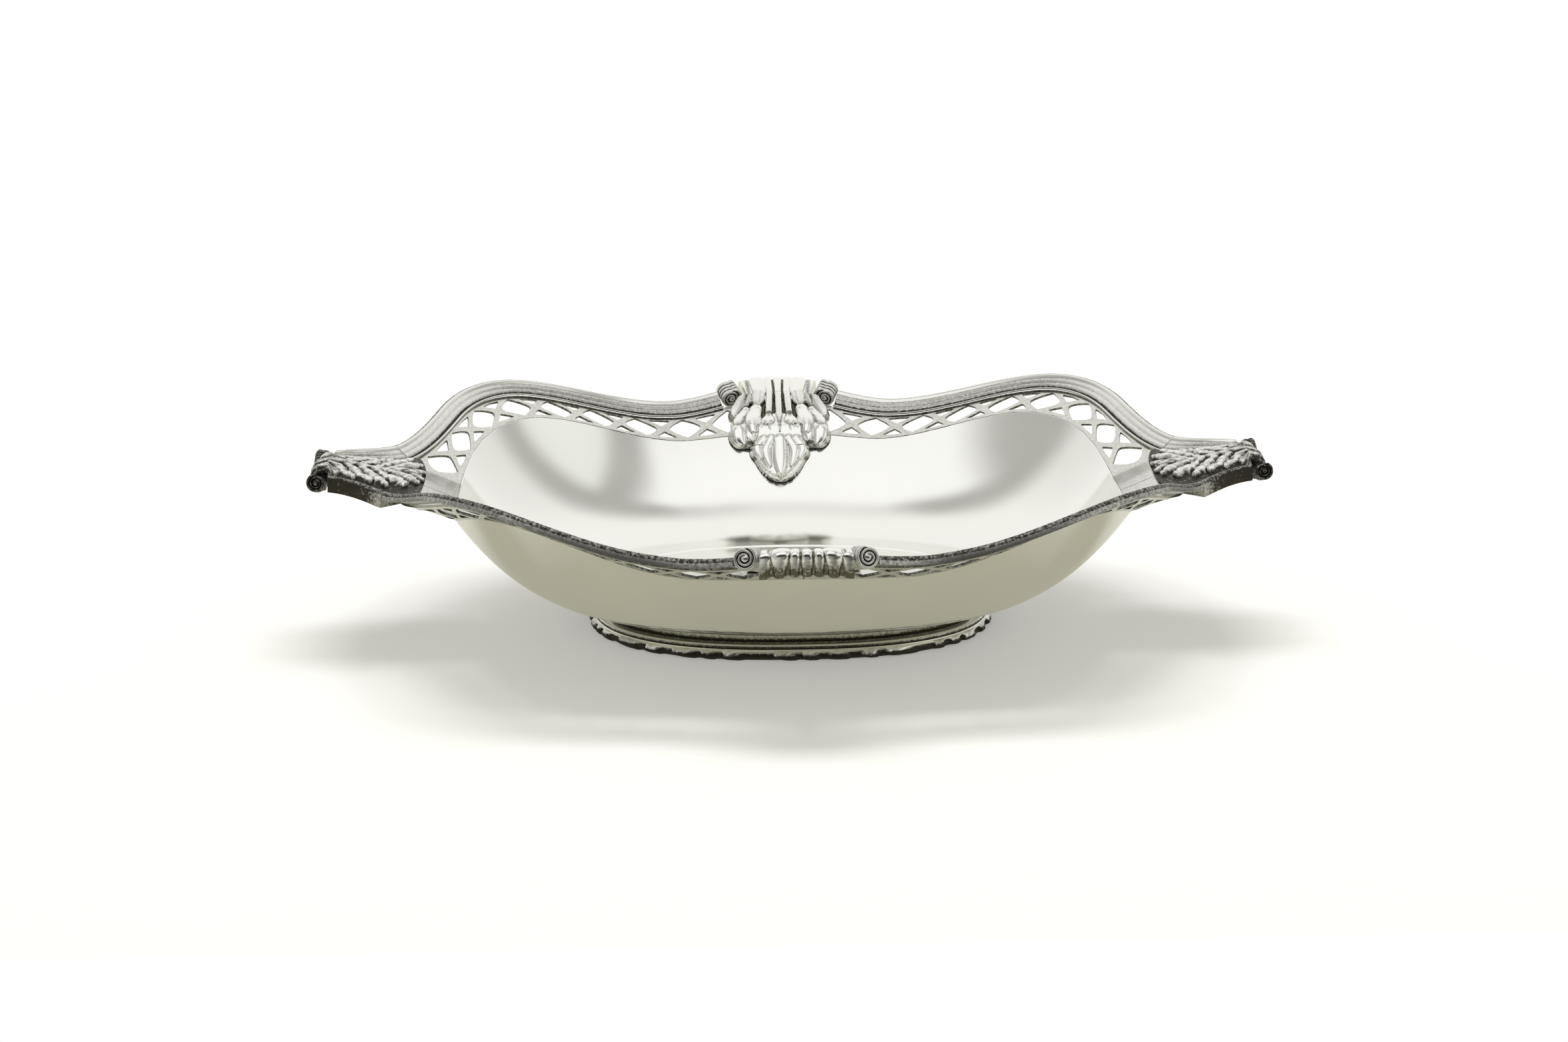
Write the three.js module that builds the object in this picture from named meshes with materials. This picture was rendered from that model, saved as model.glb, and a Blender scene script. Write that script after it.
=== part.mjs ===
// A pierced oval dish in cast and raised silver, with a trellis border, a moulded wavy rim,
// a leaf cartouche over the middle of each long side, a scroll-ended leaf handle at each end,
// and a stepped oval foot with a leaf border.
// Millimetres, +Z up, +X towards one handle. The origin is the middle of the face it stands on.
import * as THREE from 'three';
import { mergeGeometries, mergeVertices } from 'three/addons/utils/BufferGeometryUtils.js';

const { degToRad, lerp, smoothstep } = THREE.MathUtils;

// Rim: the outer top edge of the moulding, a rounded oblong seen from above.
const RIM_LENGTH = 302;
const RIM_WIDTH = 226;
const RIM_SQUARENESS = 3.2;
const SIDE_BULGE = 13;
const SIDE_BULGE_REACH = degToRad(22);
const RIM_HEIGHT_LOW = 60;
const RIM_HEIGHT_CORNER = 76;
const RIM_HEIGHT_END = 63.5;
const SIDE_LIFT = 5.6;
const SIDE_LIFT_REACH = degToRad(18);
const CORNER_ANGLE = degToRad(43);
const WAVE_REACH_TO_SIDE = degToRad(31);
const WAVE_REACH_TO_END = degToRad(32);

// Where the rim leaves the oblong and sweeps out along a handle.
const HANDLE_ANGLE = degToRad(31);
const HANDLE_LENGTH = 380;
const HANDLE_TIP_WIDTH = 39;
const HANDLE_TIP_LIFT = 2.5;
const HANDLE_ROOT_REACH = 21;
const HANDLE_ROOT_HALF_WIDTH = 27;
const HANDLE_ROOT_SETBACK = 21;
const MOULDING_END_X = 160;

// Moulding section, measured outwards (u) and upwards (v) from the rim's outer top edge.
const MOULDING_WIDTH = 9.8;
const MOULDING_DROP = 5.2;
const MOULDING_EDGE = 3.2;
const BEAD_RADIUS = 1.1;

// Bowl and trellis.
const SHOULDER_INSET = 18.5;
const SHOULDER_DROP = 13.5;
const SHOULDER_SHARE_OF_LIFT = 0.3;
const SHOULDER_SHARE_OF_BULGE = 0.5;
const SHEET = 1.2;
const GALLERY_SHEET = 1.1;
const FLOOR_HEIGHT = 11;
const FLOOR_LENGTH = 148;
const FLOOR_WIDTH = 103;
const FLOOR_SQUARENESS = 2.4;
const WALL_CURVE = 2.3;
const PIERCINGS = 9;
const TRELLIS_BAR = 1.7;
const TRELLIS_RAIL = 1.1;
const PLAIN_BESIDE_MIDDLE = 13;
const PLAIN_BESIDE_END = 24;
const LIP_LEAVES_MOULDING = degToRad(18);
const LIP_CLOSES = degToRad(4);
const LIP_END_REACH = 7;
const LIP_UNDER_MOULDING = 1.3;
const SIDE_FULLNESS = 0.07;
const TRIANGLE_SAG = 0.3;

// Cartouche and scrolls.
const CARTOUCHE_HALF_WIDTH = 16.3;
const CARTOUCHE_PLATE = 1.6;
const CARTOUCHE_PASSES_LIP = 11.2;
const OVER_RIM_RELIEF = 0.6;
const SIDE_SCROLL_RADIUS = 4.9;
const SIDE_SCROLL_LIFT = 4.4;
const HANDLE_SCROLL_RADIUS = 4.1;
const HANDLE_SCROLL_LIFT = 1.4;
const SCROLL_CLOSING = 0.28;
const SCROLL_WIDTH = 8.5;
const SCROLL_TILT = 0.6;

// Handle leaf.
const LEAF_PLATE = 1.8;
const LEAF_START_HALF_WIDTH = 4;
const LEAF_DISH = 0.85;

// Foot.
const FOOT_FLARE = 7;
const FOOT_SIDE_FLARE = 6;
const BORDER_HEIGHT = 4.6;
const BORDER_LEAVES = 40;
const BORDER_RELIEF = 0.8;

// Soldered seams are left open by this much, and by more where two pieces meet at an angle.
const SEAM = 0.35;
const SLOPING_SEAM = 0.72;

const HALF_TURN = Math.PI;
const QUARTER_TURN = Math.PI / 2;

// A small angle, or share of a height, over which a direction is measured. The rim is read this
// far off the middle of a handle's tip too, where its two halves meet.
const SMALL_STEP = 1e-3;

// Beyond this share of a plate's half width its face drops to the plain edge.
const PLATE_EDGE = 0.99;

const silver = new THREE.MeshStandardMaterial({ color: 0xd9d9d2, roughness: 0.16, metalness: 1 });
const castSilver = new THREE.MeshStandardMaterial({ color: 0xc4c3bb, roughness: 0.24, metalness: 1 });

// A point of a rounded oblong. The angle runs as on an ellipse, and 2 as squareness makes one.
function oblong(length, width, squareness, angle) {
  const c = Math.cos(angle);
  const s = Math.sin(angle);
  const reach = (Math.abs(c) ** squareness + Math.abs(s) ** squareness) ** (-1 / squareness);
  return new THREE.Vector2((length / 2) * reach * c, (width / 2) * reach * s);
}

// 1 at the middle of a wave and 0 at its reach on either side.
function wave(angle, middle, reach) {
  const share = Math.min(1, Math.abs(angle - middle) / reach);
  return 0.5 + 0.5 * Math.cos(HALF_TURN * share);
}

// The same place of the first quarter, with the signs that bring it back.
function fold(angle) {
  const x = Math.cos(angle);
  const y = Math.sin(angle);
  return { angle: Math.atan2(Math.abs(y), Math.abs(x)), sx: x < 0 ? -1 : 1, sy: y < 0 ? -1 : 1 };
}

function rimHeight(angle) {
  const towardsSide = angle > CORNER_ANGLE;
  const low = towardsSide ? RIM_HEIGHT_LOW : RIM_HEIGHT_END;
  const reach = towardsSide ? WAVE_REACH_TO_SIDE : WAVE_REACH_TO_END;
  const corner = (RIM_HEIGHT_CORNER - low) * wave(angle, CORNER_ANGLE, reach);
  const side = SIDE_LIFT * wave(angle, QUARTER_TURN, SIDE_LIFT_REACH);
  return low + corner + side;
}

// The rim's plan in the first quarter, without the sweep along the handle.
function oblongRim(angle) {
  const plan = oblong(RIM_LENGTH, RIM_WIDTH, RIM_SQUARENESS, angle);
  plan.y += SIDE_BULGE * wave(angle, QUARTER_TURN, SIDE_BULGE_REACH);
  return plan;
}

// The sweep from the oblong rim out to the scroll at the handle's tip, seen from above.
function makeHandleSweep() {
  const start = oblongRim(HANDLE_ANGLE);
  const heading = oblongRim(HANDLE_ANGLE - SMALL_STEP).sub(start).normalize();
  const tip = new THREE.Vector2(HANDLE_LENGTH / 2 - 2 * HANDLE_SCROLL_RADIUS, HANDLE_TIP_WIDTH / 2);
  const root = new THREE.Vector2(tip.x - HANDLE_ROOT_SETBACK, HANDLE_ROOT_HALF_WIDTH);
  const leave = start.clone().addScaledVector(heading, HANDLE_ROOT_REACH);
  return new THREE.CubicBezierCurve(start, leave, root, tip);
}

const handleSweep = makeHandleSweep();

function rimPoint(anyAngle) {
  const { angle, sx, sy } = fold(anyAngle);
  const plan = angle >= HANDLE_ANGLE
    ? oblongRim(angle)
    : handleSweep.getPoint(1 - angle / HANDLE_ANGLE);
  const tipLift = HANDLE_TIP_LIFT * (1 - smoothstep(angle, 0, HANDLE_ANGLE / 2));
  return new THREE.Vector3(sx * plan.x, sy * plan.y, rimHeight(angle) + tipLift);
}

// The oblong rim carried on round the end of the dish, under the handle.
function oblongRimPoint(anyAngle) {
  const { angle, sx, sy } = fold(anyAngle);
  const plan = oblongRim(angle);
  return new THREE.Vector3(sx * plan.x, sy * plan.y, rimHeight(angle));
}

// A point of a rim with the level direction that points away from the dish there.
function frameOf(pointAt, angle) {
  const point = pointAt(angle);
  const along = pointAt(angle + SMALL_STEP).sub(pointAt(angle - SMALL_STEP)).setZ(0).normalize();
  const outward = new THREE.Vector3(along.y, -along.x, 0);
  if (outward.dot(point) < 0) outward.negate();
  return { point, outward, along };
}

function rimFrame(angle) {
  return frameOf(rimPoint, angle);
}

function fromRim(frame, u, v) {
  return frame.point.clone().addScaledVector(frame.outward, u).setZ(frame.point.z + v);
}

// The top edge of the trellis, under the inner edge of the moulding.
const LIP_INSET = MOULDING_WIDTH - LIP_UNDER_MOULDING;
const LIP_DROP = MOULDING_DROP + SEAM + 0.55 * GALLERY_SHEET;

// It follows the moulding a little way along the handle and closes under the handle's leaf.
function lipPoint(anyAngle) {
  const { angle } = fold(anyAngle);
  const underMoulding = fromRim(rimFrame(anyAngle), -LIP_INSET, -LIP_DROP);
  if (angle >= LIP_LEAVES_MOULDING) return underMoulding;
  const round = fromRim(frameOf(oblongRimPoint, anyAngle), LIP_END_REACH - LIP_INSET, -LIP_DROP);
  return round.lerp(underMoulding, smoothstep(angle, LIP_CLOSES, LIP_LEAVES_MOULDING));
}

// The line where the smooth bowl ends and the trellis starts.
function shoulderPoint(anyAngle) {
  const length = RIM_LENGTH - 2 * SHOULDER_INSET;
  const width = RIM_WIDTH - 2 * SHOULDER_INSET;
  const plan = oblong(length, width, RIM_SQUARENESS, anyAngle);
  const { angle, sy } = fold(anyAngle);
  const lift = SIDE_LIFT * wave(angle, QUARTER_TURN, SIDE_LIFT_REACH);
  const bulge = SIDE_BULGE * wave(angle, QUARTER_TURN, SIDE_BULGE_REACH);
  const z = rimHeight(angle) - (1 - SHOULDER_SHARE_OF_LIFT) * lift - SHOULDER_DROP;
  return new THREE.Vector3(plan.x, plan.y + sy * SHOULDER_SHARE_OF_BULGE * bulge, z);
}

// Middle of the sheet: level 0 is the floor's edge, 1 the shoulder and 2 the trellis's top edge.
function wallPoint(angle, level) {
  const shoulder = shoulderPoint(angle);
  if (level > 1) return shoulder.lerp(lipPoint(angle), level - 1);
  const floor = oblong(FLOOR_LENGTH, FLOOR_WIDTH, FLOOR_SQUARENESS, angle);
  const z = lerp(FLOOR_HEIGHT + SHEET / 2, shoulder.z, level ** WALL_CURVE);
  return new THREE.Vector3(lerp(floor.x, shoulder.x, level), lerp(floor.y, shoulder.y, level), z);
}

// Direction square to the sheet, into the bowl.
function wallNormal(angle, level) {
  const step = SMALL_STEP;
  const base = level > 1 ? Math.max(level, 1 + 2 * step) : Math.min(level, 1 - 2 * step);
  const around = wallPoint(angle + step, base).sub(wallPoint(angle - step, base));
  const up = wallPoint(angle, base + step).sub(wallPoint(angle, base - step));
  const normal = new THREE.Vector3().crossVectors(around, up).normalize();
  return normal.z < 0 ? normal.negate() : normal;
}

function onWall(angle, level, height) {
  return wallPoint(angle, level).addScaledVector(wallNormal(angle, level), height);
}

// A closed solid through rings of equal point counts. Closed in a loop, or capped at both ends.
// capOutline is a flat picture of one ring, used to fill the caps.
function loft(rings, capOutline) {
  const count = rings[0].length;
  const positions = rings.flat().flatMap((p) => [p.x, p.y, p.z]);
  const index = [];
  const last = capOutline ? rings.length - 1 : rings.length;
  for (let i = 0; i < last; i++) {
    const here = i * count;
    const next = ((i + 1) % rings.length) * count;
    for (let j = 0; j < count; j++) {
      const k = (j + 1) % count;
      index.push(here + j, here + k, next + k, here + j, next + k, next + j);
    }
  }
  if (capOutline) {
    const faces = THREE.ShapeUtils.triangulateShape(capOutline, []);
    const end = (rings.length - 1) * count;
    const clockwise = THREE.ShapeUtils.isClockWise(capOutline);
    for (const [a, b, c] of faces) {
      if (clockwise) {
        index.push(a, b, c, end + a, end + c, end + b);
      } else {
        index.push(a, c, b, end + a, end + b, end + c);
      }
    }
  }
  const geometry = new THREE.BufferGeometry();
  geometry.setAttribute('position', new THREE.Float32BufferAttribute(positions, 3));
  geometry.setIndex(index);
  return faceOutwards(geometry);
}

function signedVolume(geometry) {
  const position = geometry.getAttribute('position');
  const index = geometry.getIndex().array;
  const [a, b, c] = [new THREE.Vector3(), new THREE.Vector3(), new THREE.Vector3()];
  let sum = 0;
  for (let i = 0; i < index.length; i += 3) {
    a.fromBufferAttribute(position, index[i]);
    b.fromBufferAttribute(position, index[i + 1]);
    c.fromBufferAttribute(position, index[i + 2]);
    sum += a.dot(b.cross(c)) / 6;
  }
  return sum;
}

function faceBackwards(geometry) {
  const index = geometry.getIndex().array;
  for (let i = 0; i < index.length; i += 3) {
    [index[i + 1], index[i + 2]] = [index[i + 2], index[i + 1]];
  }
  return geometry;
}

function faceOutwards(geometry) {
  if (signedVolume(geometry) < 0) faceBackwards(geometry);
  geometry.computeVertexNormals();
  return geometry;
}

// One piece's copy in another quarter of the dish.
function mirrored(geometry, sx, sy) {
  return faceOutwards(geometry.clone().scale(sx, sy, 1));
}

// A flat strip of given thickness, rolled or bent: rows of points on its back and on its face.
function plateSolid(backRows, faceRows) {
  const rings = backRows.map((back, i) => [...back, ...[...faceRows[i]].reverse()]);
  const columns = backRows[0].length;
  const outline = [];
  for (let j = 0; j < columns; j++) outline.push(new THREE.Vector2(j, 0));
  for (let j = columns - 1; j >= 0; j--) outline.push(new THREE.Vector2(j, 1));
  return loft(rings, outline);
}

// The smooth bowl, from the flat floor to the shoulder.
function makeBowl() {
  const steps = 96;
  const levels = [0.2, 0.42, 0.64, 0.84, 1];
  const ring = (level, height) => Array.from({ length: steps }, (_, i) => (
    onWall((i / steps) * 2 * HALF_TURN, level, height)
  ));
  const flatRing = (z) => Array.from({ length: steps }, (_, i) => {
    const plan = oblong(FLOOR_LENGTH, FLOOR_WIDTH, FLOOR_SQUARENESS, (i / steps) * 2 * HALF_TURN);
    return new THREE.Vector3(plan.x, plan.y, z);
  });
  const under = levels.map((level) => ring(level, -SHEET / 2));
  const inside = levels.map((level) => ring(level, SHEET / 2)).reverse();
  const rings = [flatRing(FLOOR_HEIGHT), ...under, ...inside, flatRing(FLOOR_HEIGHT + SHEET)];
  return loft(rings, rings[0].map((p) => new THREE.Vector2(p.x, p.y)));
}

// The moulding's section: bead, groove, broad ogee, inner fillet and hollow back.
function mouldingSection() {
  const w = MOULDING_WIDTH;
  const r = BEAD_RADIUS;
  return [
    [0, -MOULDING_EDGE], [0, -r], [-0.4 * r, -0.2 * r], [-r, 0], [-1.8 * r, -0.35 * r],
    [-2.3 * r, -1.25 * r], [-0.38 * w, -0.8 * r], [-0.55 * w, -1.1 * r], [-0.75 * w, -0.45 * MOULDING_DROP],
    [-w + 1, -0.74 * MOULDING_DROP], [-w, -0.8 * MOULDING_DROP], [-w, -MOULDING_DROP],
    [-w + 2.4, -MOULDING_DROP], [-0.45 * w, -MOULDING_EDGE - 0.4],
  ];
}

// The angle at which a line offset from the rim passes x. The line runs in x from low to high.
function angleWhere(x, offset, fromAngle, toAngle) {
  let near = fromAngle;
  let far = toAngle;
  for (let i = 0; i < 40; i++) {
    const middle = (near + far) / 2;
    if (fromRim(rimFrame(middle), offset, 0).x > x) near = middle;
    else far = middle;
  }
  return (near + far) / 2;
}

const SIDE_SCROLL_X = CARTOUCHE_HALF_WIDTH + 2 * SLOPING_SEAM + SIDE_SCROLL_RADIUS;
const SIDE_SCROLL_ANGLE = angleWhere(SIDE_SCROLL_X, 0, CORNER_ANGLE, QUARTER_TURN - 0.01);
const SIDE_SCROLL_HIND_RADIUS = SIDE_SCROLL_RADIUS * (1 - 0.75 * SCROLL_CLOSING);
const MOULDING_START_X = SIDE_SCROLL_X + SIDE_SCROLL_HIND_RADIUS + SEAM;
const MOULDING_START_ANGLE = angleWhere(MOULDING_START_X, 0, CORNER_ANGLE, QUARTER_TURN - 0.01);
const MOULDING_END_ANGLE = angleWhere(MOULDING_END_X, 0, SMALL_STEP, CORNER_ANGLE);

// The rim from beside the side scroll to the handle's leaf, as a curve with even spacing.
class MouldingPath extends THREE.Curve {
  getPoint(share, target = new THREE.Vector3()) {
    return target.copy(rimPoint(lerp(MOULDING_START_ANGLE, MOULDING_END_ANGLE, share)));
  }
}

function makeMoulding() {
  const steps = 24;
  const path = new MouldingPath();
  const section = mouldingSection();
  const rings = Array.from({ length: steps + 1 }, (_, i) => {
    const share = path.getUtoTmapping(i / steps);
    const frame = rimFrame(lerp(MOULDING_START_ANGLE, MOULDING_END_ANGLE, share));
    return section.map(([u, v]) => fromRim(frame, u, v));
  });
  return loft(rings, section.map(([u, v]) => new THREE.Vector2(u, v)));
}

// A solid from a flat picture of a sheet's faces. Both faces are put in place, and every open
// edge of the picture gets a wall.
function sheetSolid(flat, place) {
  const flatIndex = [...flat.getIndex().array];
  const flatPosition = flat.getAttribute('position');
  const count = flatPosition.count;
  const positions = [];
  for (const side of [-1, 1]) {
    for (let i = 0; i < count; i++) {
      positions.push(...place(flatPosition.getX(i), flatPosition.getY(i), side).toArray());
    }
  }
  const index = [];
  const edges = new Set();
  for (let i = 0; i < flatIndex.length; i += 3) {
    const [a, b, c] = flatIndex.slice(i, i + 3);
    index.push(a, c, b, count + a, count + b, count + c);
    [[a, b], [b, c], [c, a]].forEach(([from, to]) => edges.add(from * count + to));
  }
  for (const edge of edges) {
    const from = Math.floor(edge / count);
    const to = edge % count;
    if (!edges.has(to * count + from)) {
      index.push(from, to, count + to, from, count + to, count + from);
    }
  }
  const geometry = new THREE.BufferGeometry();
  geometry.setAttribute('position', new THREE.Float32BufferAttribute(positions, 3));
  geometry.setIndex(index);
  return faceOutwards(geometry);
}

// Half of a trellis cell: x runs from a crossing of two bars to the middle of the next diamond.
// Without its crossing the cell has a plain border there, as at the ends of the trellis.
function halfCell(pitch, height, crossing) {
  const middle = pitch / 2;
  const slope = Math.hypot(1, height / pitch);
  const tip = height / 2 - (TRELLIS_BAR / 2) * slope;
  const reach = middle - (TRELLIS_BAR / 2) * Math.hypot(1, pitch / height);
  const full = 0.5 + SIDE_FULLNESS;
  const apex = (TRELLIS_BAR / 2) * slope;
  const top = height / 2 - TRELLIS_RAIL;
  const half = (top - apex) * (pitch / height);
  const upper = [
    [middle - reach, 0], [middle - full * reach, full * tip], [middle, tip], [middle, height / 2],
    [0, height / 2], ...(crossing ? [[0, top], [half, top - TRIANGLE_SAG], [0, apex]] : []),
  ];
  const lower = upper.slice(1).reverse().map(([x, y]) => [x, -y]);
  return new THREE.Shape([...upper, ...lower].map(([x, y]) => new THREE.Vector2(x, y + height / 2)));
}

// The trellis's own line, half way up, from the middle of the long side to the end's middle.
class GalleryLine extends THREE.Curve {
  getPoint(share, target = new THREE.Vector3()) {
    return target.copy(wallPoint(lerp(QUARTER_TURN, 0, share), 1.5));
  }
}

// A quarter of the trellis border: drawn flat, then bent to the dish.
function makeGallery() {
  const line = new GalleryLine();
  line.arcLengthDivisions = 400;
  const length = line.getLength();
  const height = Math.hypot(SHOULDER_INSET - LIP_INSET, SHOULDER_DROP - LIP_DROP);
  const pitch = (length - PLAIN_BESIDE_MIDDLE - PLAIN_BESIDE_END) / PIERCINGS;
  const plain = (from, to) => (
    new THREE.PlaneGeometry(to - from, height, 2, 1).translate((from + to) / 2, height / 2, 0)
  );
  const cells = [
    plain(SEAM / 2, PLAIN_BESIDE_MIDDLE), plain(length - PLAIN_BESIDE_END, length - SEAM / 2),
  ];
  for (let i = 0; i < 2 * PIERCINGS; i++) {
    const towardsMiddle = i % 2 === 1;
    const atEnd = i === 0 || i === 2 * PIERCINGS - 1;
    const cell = new THREE.ShapeGeometry(halfCell(pitch, height, !atEnd));
    if (towardsMiddle) faceBackwards(cell.scale(-1, 1, 1));
    cell.translate(PLAIN_BESIDE_MIDDLE + (i + (towardsMiddle ? 1 : 0)) * (pitch / 2), 0, 0);
    cells.push(cell);
  }
  for (const cell of cells) {
    cell.deleteAttribute('normal');
    cell.deleteAttribute('uv');
  }
  const flat = mergeVertices(mergeGeometries(cells), 1e-3);
  const seamLevel = SLOPING_SEAM / height;
  return sheetSolid(flat, (x, y, side) => {
    const angle = lerp(QUARTER_TURN, 0, line.getUtoTmapping(x / length));
    return onWall(angle, 1 + lerp(seamLevel, 1, y / height), (side * GALLERY_SHEET) / 2);
  });
}

// The relief of a leaf: the highest of several long domes, each from a root to a tip.
function lobeRelief(lobes, x, y) {
  let height = 0;
  for (const { from, to, half, rise } of lobes) {
    const dx = to[0] - from[0];
    const dy = to[1] - from[1];
    const share = ((x - from[0]) * dx + (y - from[1]) * dy) / (dx * dx + dy * dy);
    const off = Math.abs((x - from[0]) * dy - (y - from[1]) * dx) / Math.hypot(dx, dy);
    const end = Math.abs(share - 0.5) * 2;
    const inside = 1 - (off / half) ** 2 - end ** 4;
    if (inside > 0) height = Math.max(height, rise * Math.sqrt(inside));
  }
  return height;
}

function withTwins(lobes) {
  const twins = lobes.filter(({ from, to }) => from[0] !== 0 || to[0] !== 0).map((lobe) => (
    { ...lobe, from: [-lobe.from[0], lobe.from[1]], to: [-lobe.to[0], lobe.to[1]] }
  ));
  return [...lobes, ...twins];
}

// Cartouche lobes, in millimetres across and down from the rim's outer edge over the inside.
const CARTOUCHE_LOBES = withTwins([
  { from: [0, -9], to: [0, 29], half: 1.7, rise: 2.2 },
  { from: [4.4, -9], to: [5, 33], half: 2.3, rise: 3 },
  { from: [9.6, -9], to: [9.2, 16], half: 2.9, rise: 2.6 },
  { from: [13, -6], to: [21, 23], half: 4.2, rise: 2.6 },
  { from: [9, 16], to: [15.5, 39], half: 4.6, rise: 3.4 },
  { from: [15, 17], to: [18.5, 36], half: 3, rise: 2.6 },
  { from: [0, 30], to: [0, 57], half: 4.4, rise: 3.8 },
  { from: [3, 31], to: [6.4, 53], half: 3, rise: 3.4 },
  { from: [6, 31], to: [11, 47], half: 2.8, rise: 3 },
]);

// Half width of the cartouche by distance down from the rim's outer edge.
const CARTOUCHE_OUTLINE = [
  [-9, 15], [10.6, 16.3], [12, 22.5], [18, 24], [22, 20.5], [34, 18.6], [38, 15], [45, 12],
  [50, 9], [53.5, 5.5], [56, 2],
];

function outlineAt(outline, place) {
  const next = outline.findIndex(([at]) => at >= place);
  if (next === 0) return outline[0][1];
  const [a, wa] = outline[next - 1];
  const [b, wb] = outline[next];
  return lerp(wa, wb, (place - a) / (b - a));
}

const CARTOUCHE_ROWS = [12, 15, 18, 21.5, 25, 28.5, 32, 35.5, 39, 42.5, 46, 49.5, 52.5, 55];

// Over the rim the cartouche takes the moulding's place. Each row has its distance from the
// outer edge, then the back and the face, outwards and upwards from that edge.
const CARTOUCHE_OVER_RIM = [
  { at: -9, back: [-1.6, -7.6], face: [-0.2, -8.2] },
  { at: -4.5, back: [-1.6, -5.2], face: [0.2, -4] },
  { at: -1, back: [-2, -3.6], face: [0, -0.8] },
  { at: 2.2, back: [-3, -3.4], face: [-2, 0.2] },
  { at: 6, back: [-5.5, -3.9], face: [-5.5, -1.2] },
  { at: 10, back: [-8.3, -4.9], face: [-9.8, -3.6] },
];

// The sheet's middle from the lip down to the floor, at the middle of the long side.
class WallLine extends THREE.Curve {
  getPoint(share, target = new THREE.Vector3()) {
    return target.copy(wallPoint(QUARTER_TURN, 2 * (1 - share)));
  }
}

function makeCartouche() {
  const columns = 16;
  const backRows = [];
  const faceRows = [];
  const half = RIM_LENGTH / 2;
  const angleAt = (x) => QUARTER_TURN - x / half;
  const shares = Array.from({ length: columns + 1 }, (_, j) => (2 * j) / columns - 1);
  for (const { at, back, face } of CARTOUCHE_OVER_RIM) {
    const width = outlineAt(CARTOUCHE_OUTLINE, at);
    const tilt = new THREE.Vector2(face[0] - back[0], face[1] - back[1]).normalize();
    backRows.push(shares.map((a) => fromRim(rimFrame(angleAt(a * width)), back[0], back[1])));
    faceRows.push(shares.map((a) => {
      const relief = OVER_RIM_RELIEF * lobeRelief(CARTOUCHE_LOBES, a * width, at);
      return fromRim(rimFrame(angleAt(a * width)), face[0] + tilt.x * relief, face[1] + tilt.y * relief);
    }));
  }
  const line = new WallLine();
  const seat = Math.max(SHEET, GALLERY_SHEET) / 2 + SLOPING_SEAM;
  for (const at of CARTOUCHE_ROWS) {
    const level = 2 * (1 - line.getUtoTmapping((at - CARTOUCHE_PASSES_LIP) / line.getLength()));
    const width = outlineAt(CARTOUCHE_OUTLINE, at);
    const reach = wallPoint(0, level).x;
    const spot = (a, height) => onWall(QUARTER_TURN - (a * width) / reach, level, height);
    backRows.push(shares.map((a) => spot(a, seat)));
    faceRows.push(shares.map((a) => {
      const relief = lobeRelief(CARTOUCHE_LOBES, a * width, at);
      const plate = Math.abs(a) > PLATE_EDGE ? 0.5 * CARTOUCHE_PLATE : CARTOUCHE_PLATE;
      return spot(a, seat + plate + relief);
    }));
  }
  return plateSolid(backRows, faceRows);
}

// A scroll's outline: a solid roll that closes in by one turn, from the top, ahead and under.
function scrollOutline(startRadius) {
  const steps = 16;
  return Array.from({ length: steps + 1 }, (_, i) => {
    const share = i / steps;
    const turn = QUARTER_TURN - share * 2 * HALF_TURN;
    const radius = startRadius * (1 - SCROLL_CLOSING * share);
    return new THREE.Vector2(radius * Math.cos(turn), radius * Math.sin(turn));
  });
}

function makeScroll(frame, radius, lift) {
  const across = frame.outward.clone().multiplyScalar(MOULDING_WIDTH).setZ(MOULDING_DROP * SCROLL_TILT);
  across.normalize();
  const ahead = frame.along.clone();
  const up = new THREE.Vector3().crossVectors(ahead, across);
  if (up.z < 0) up.negate();
  const centre = frame.point.clone().setZ(frame.point.z + lift - radius);
  const outline = scrollOutline(radius);
  const place = (offset) => outline.map((p) => (
    centre.clone().addScaledVector(ahead, p.x).addScaledVector(up, p.y).addScaledVector(across, offset)
  ));
  return loft([place(-SCROLL_WIDTH), place(0)], outline);
}

// Middle of a handle scroll: just past the end of the moulding, in line with it.
function handleScrollFrame() {
  const frame = rimFrame(SMALL_STEP);
  frame.point.addScaledVector(new THREE.Vector3(1, 0, 0), HANDLE_SCROLL_RADIUS + SEAM);
  frame.along = new THREE.Vector3(1, 0, 0);
  frame.outward = new THREE.Vector3(0, 1, 0);
  return frame;
}

// The handle's leaf along its middle, seen from the side, from inside the bowl to the rolled tip.
function makeLeafLine() {
  const lip = lipPoint(0);
  const seat = GALLERY_SHEET / 2 + SLOPING_SEAM;
  const inner = [onWall(0, 1.8, seat), onWall(0, 1.9, seat)];
  const end = HANDLE_LENGTH / 2;
  const top = rimPoint(SMALL_STEP).z - 1.5;
  const outer = [
    [lerp(lip.x, end, 0.07), lip.z + 2.6], [lerp(lip.x, end, 0.32), top - 4],
    [lerp(lip.x, end, 0.58), top - 1.4], [end - 9, top + 0.4], [end - 5, top - 0.3],
    [end - 2.7, top - 2.8], [end - 4.2, top - 5.2], [end - 6.6, top - 5.2],
  ];
  return new THREE.CatmullRomCurve3([...inner, ...outer.map(([x, z]) => new THREE.Vector3(x, 0, z))]);
}

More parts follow.
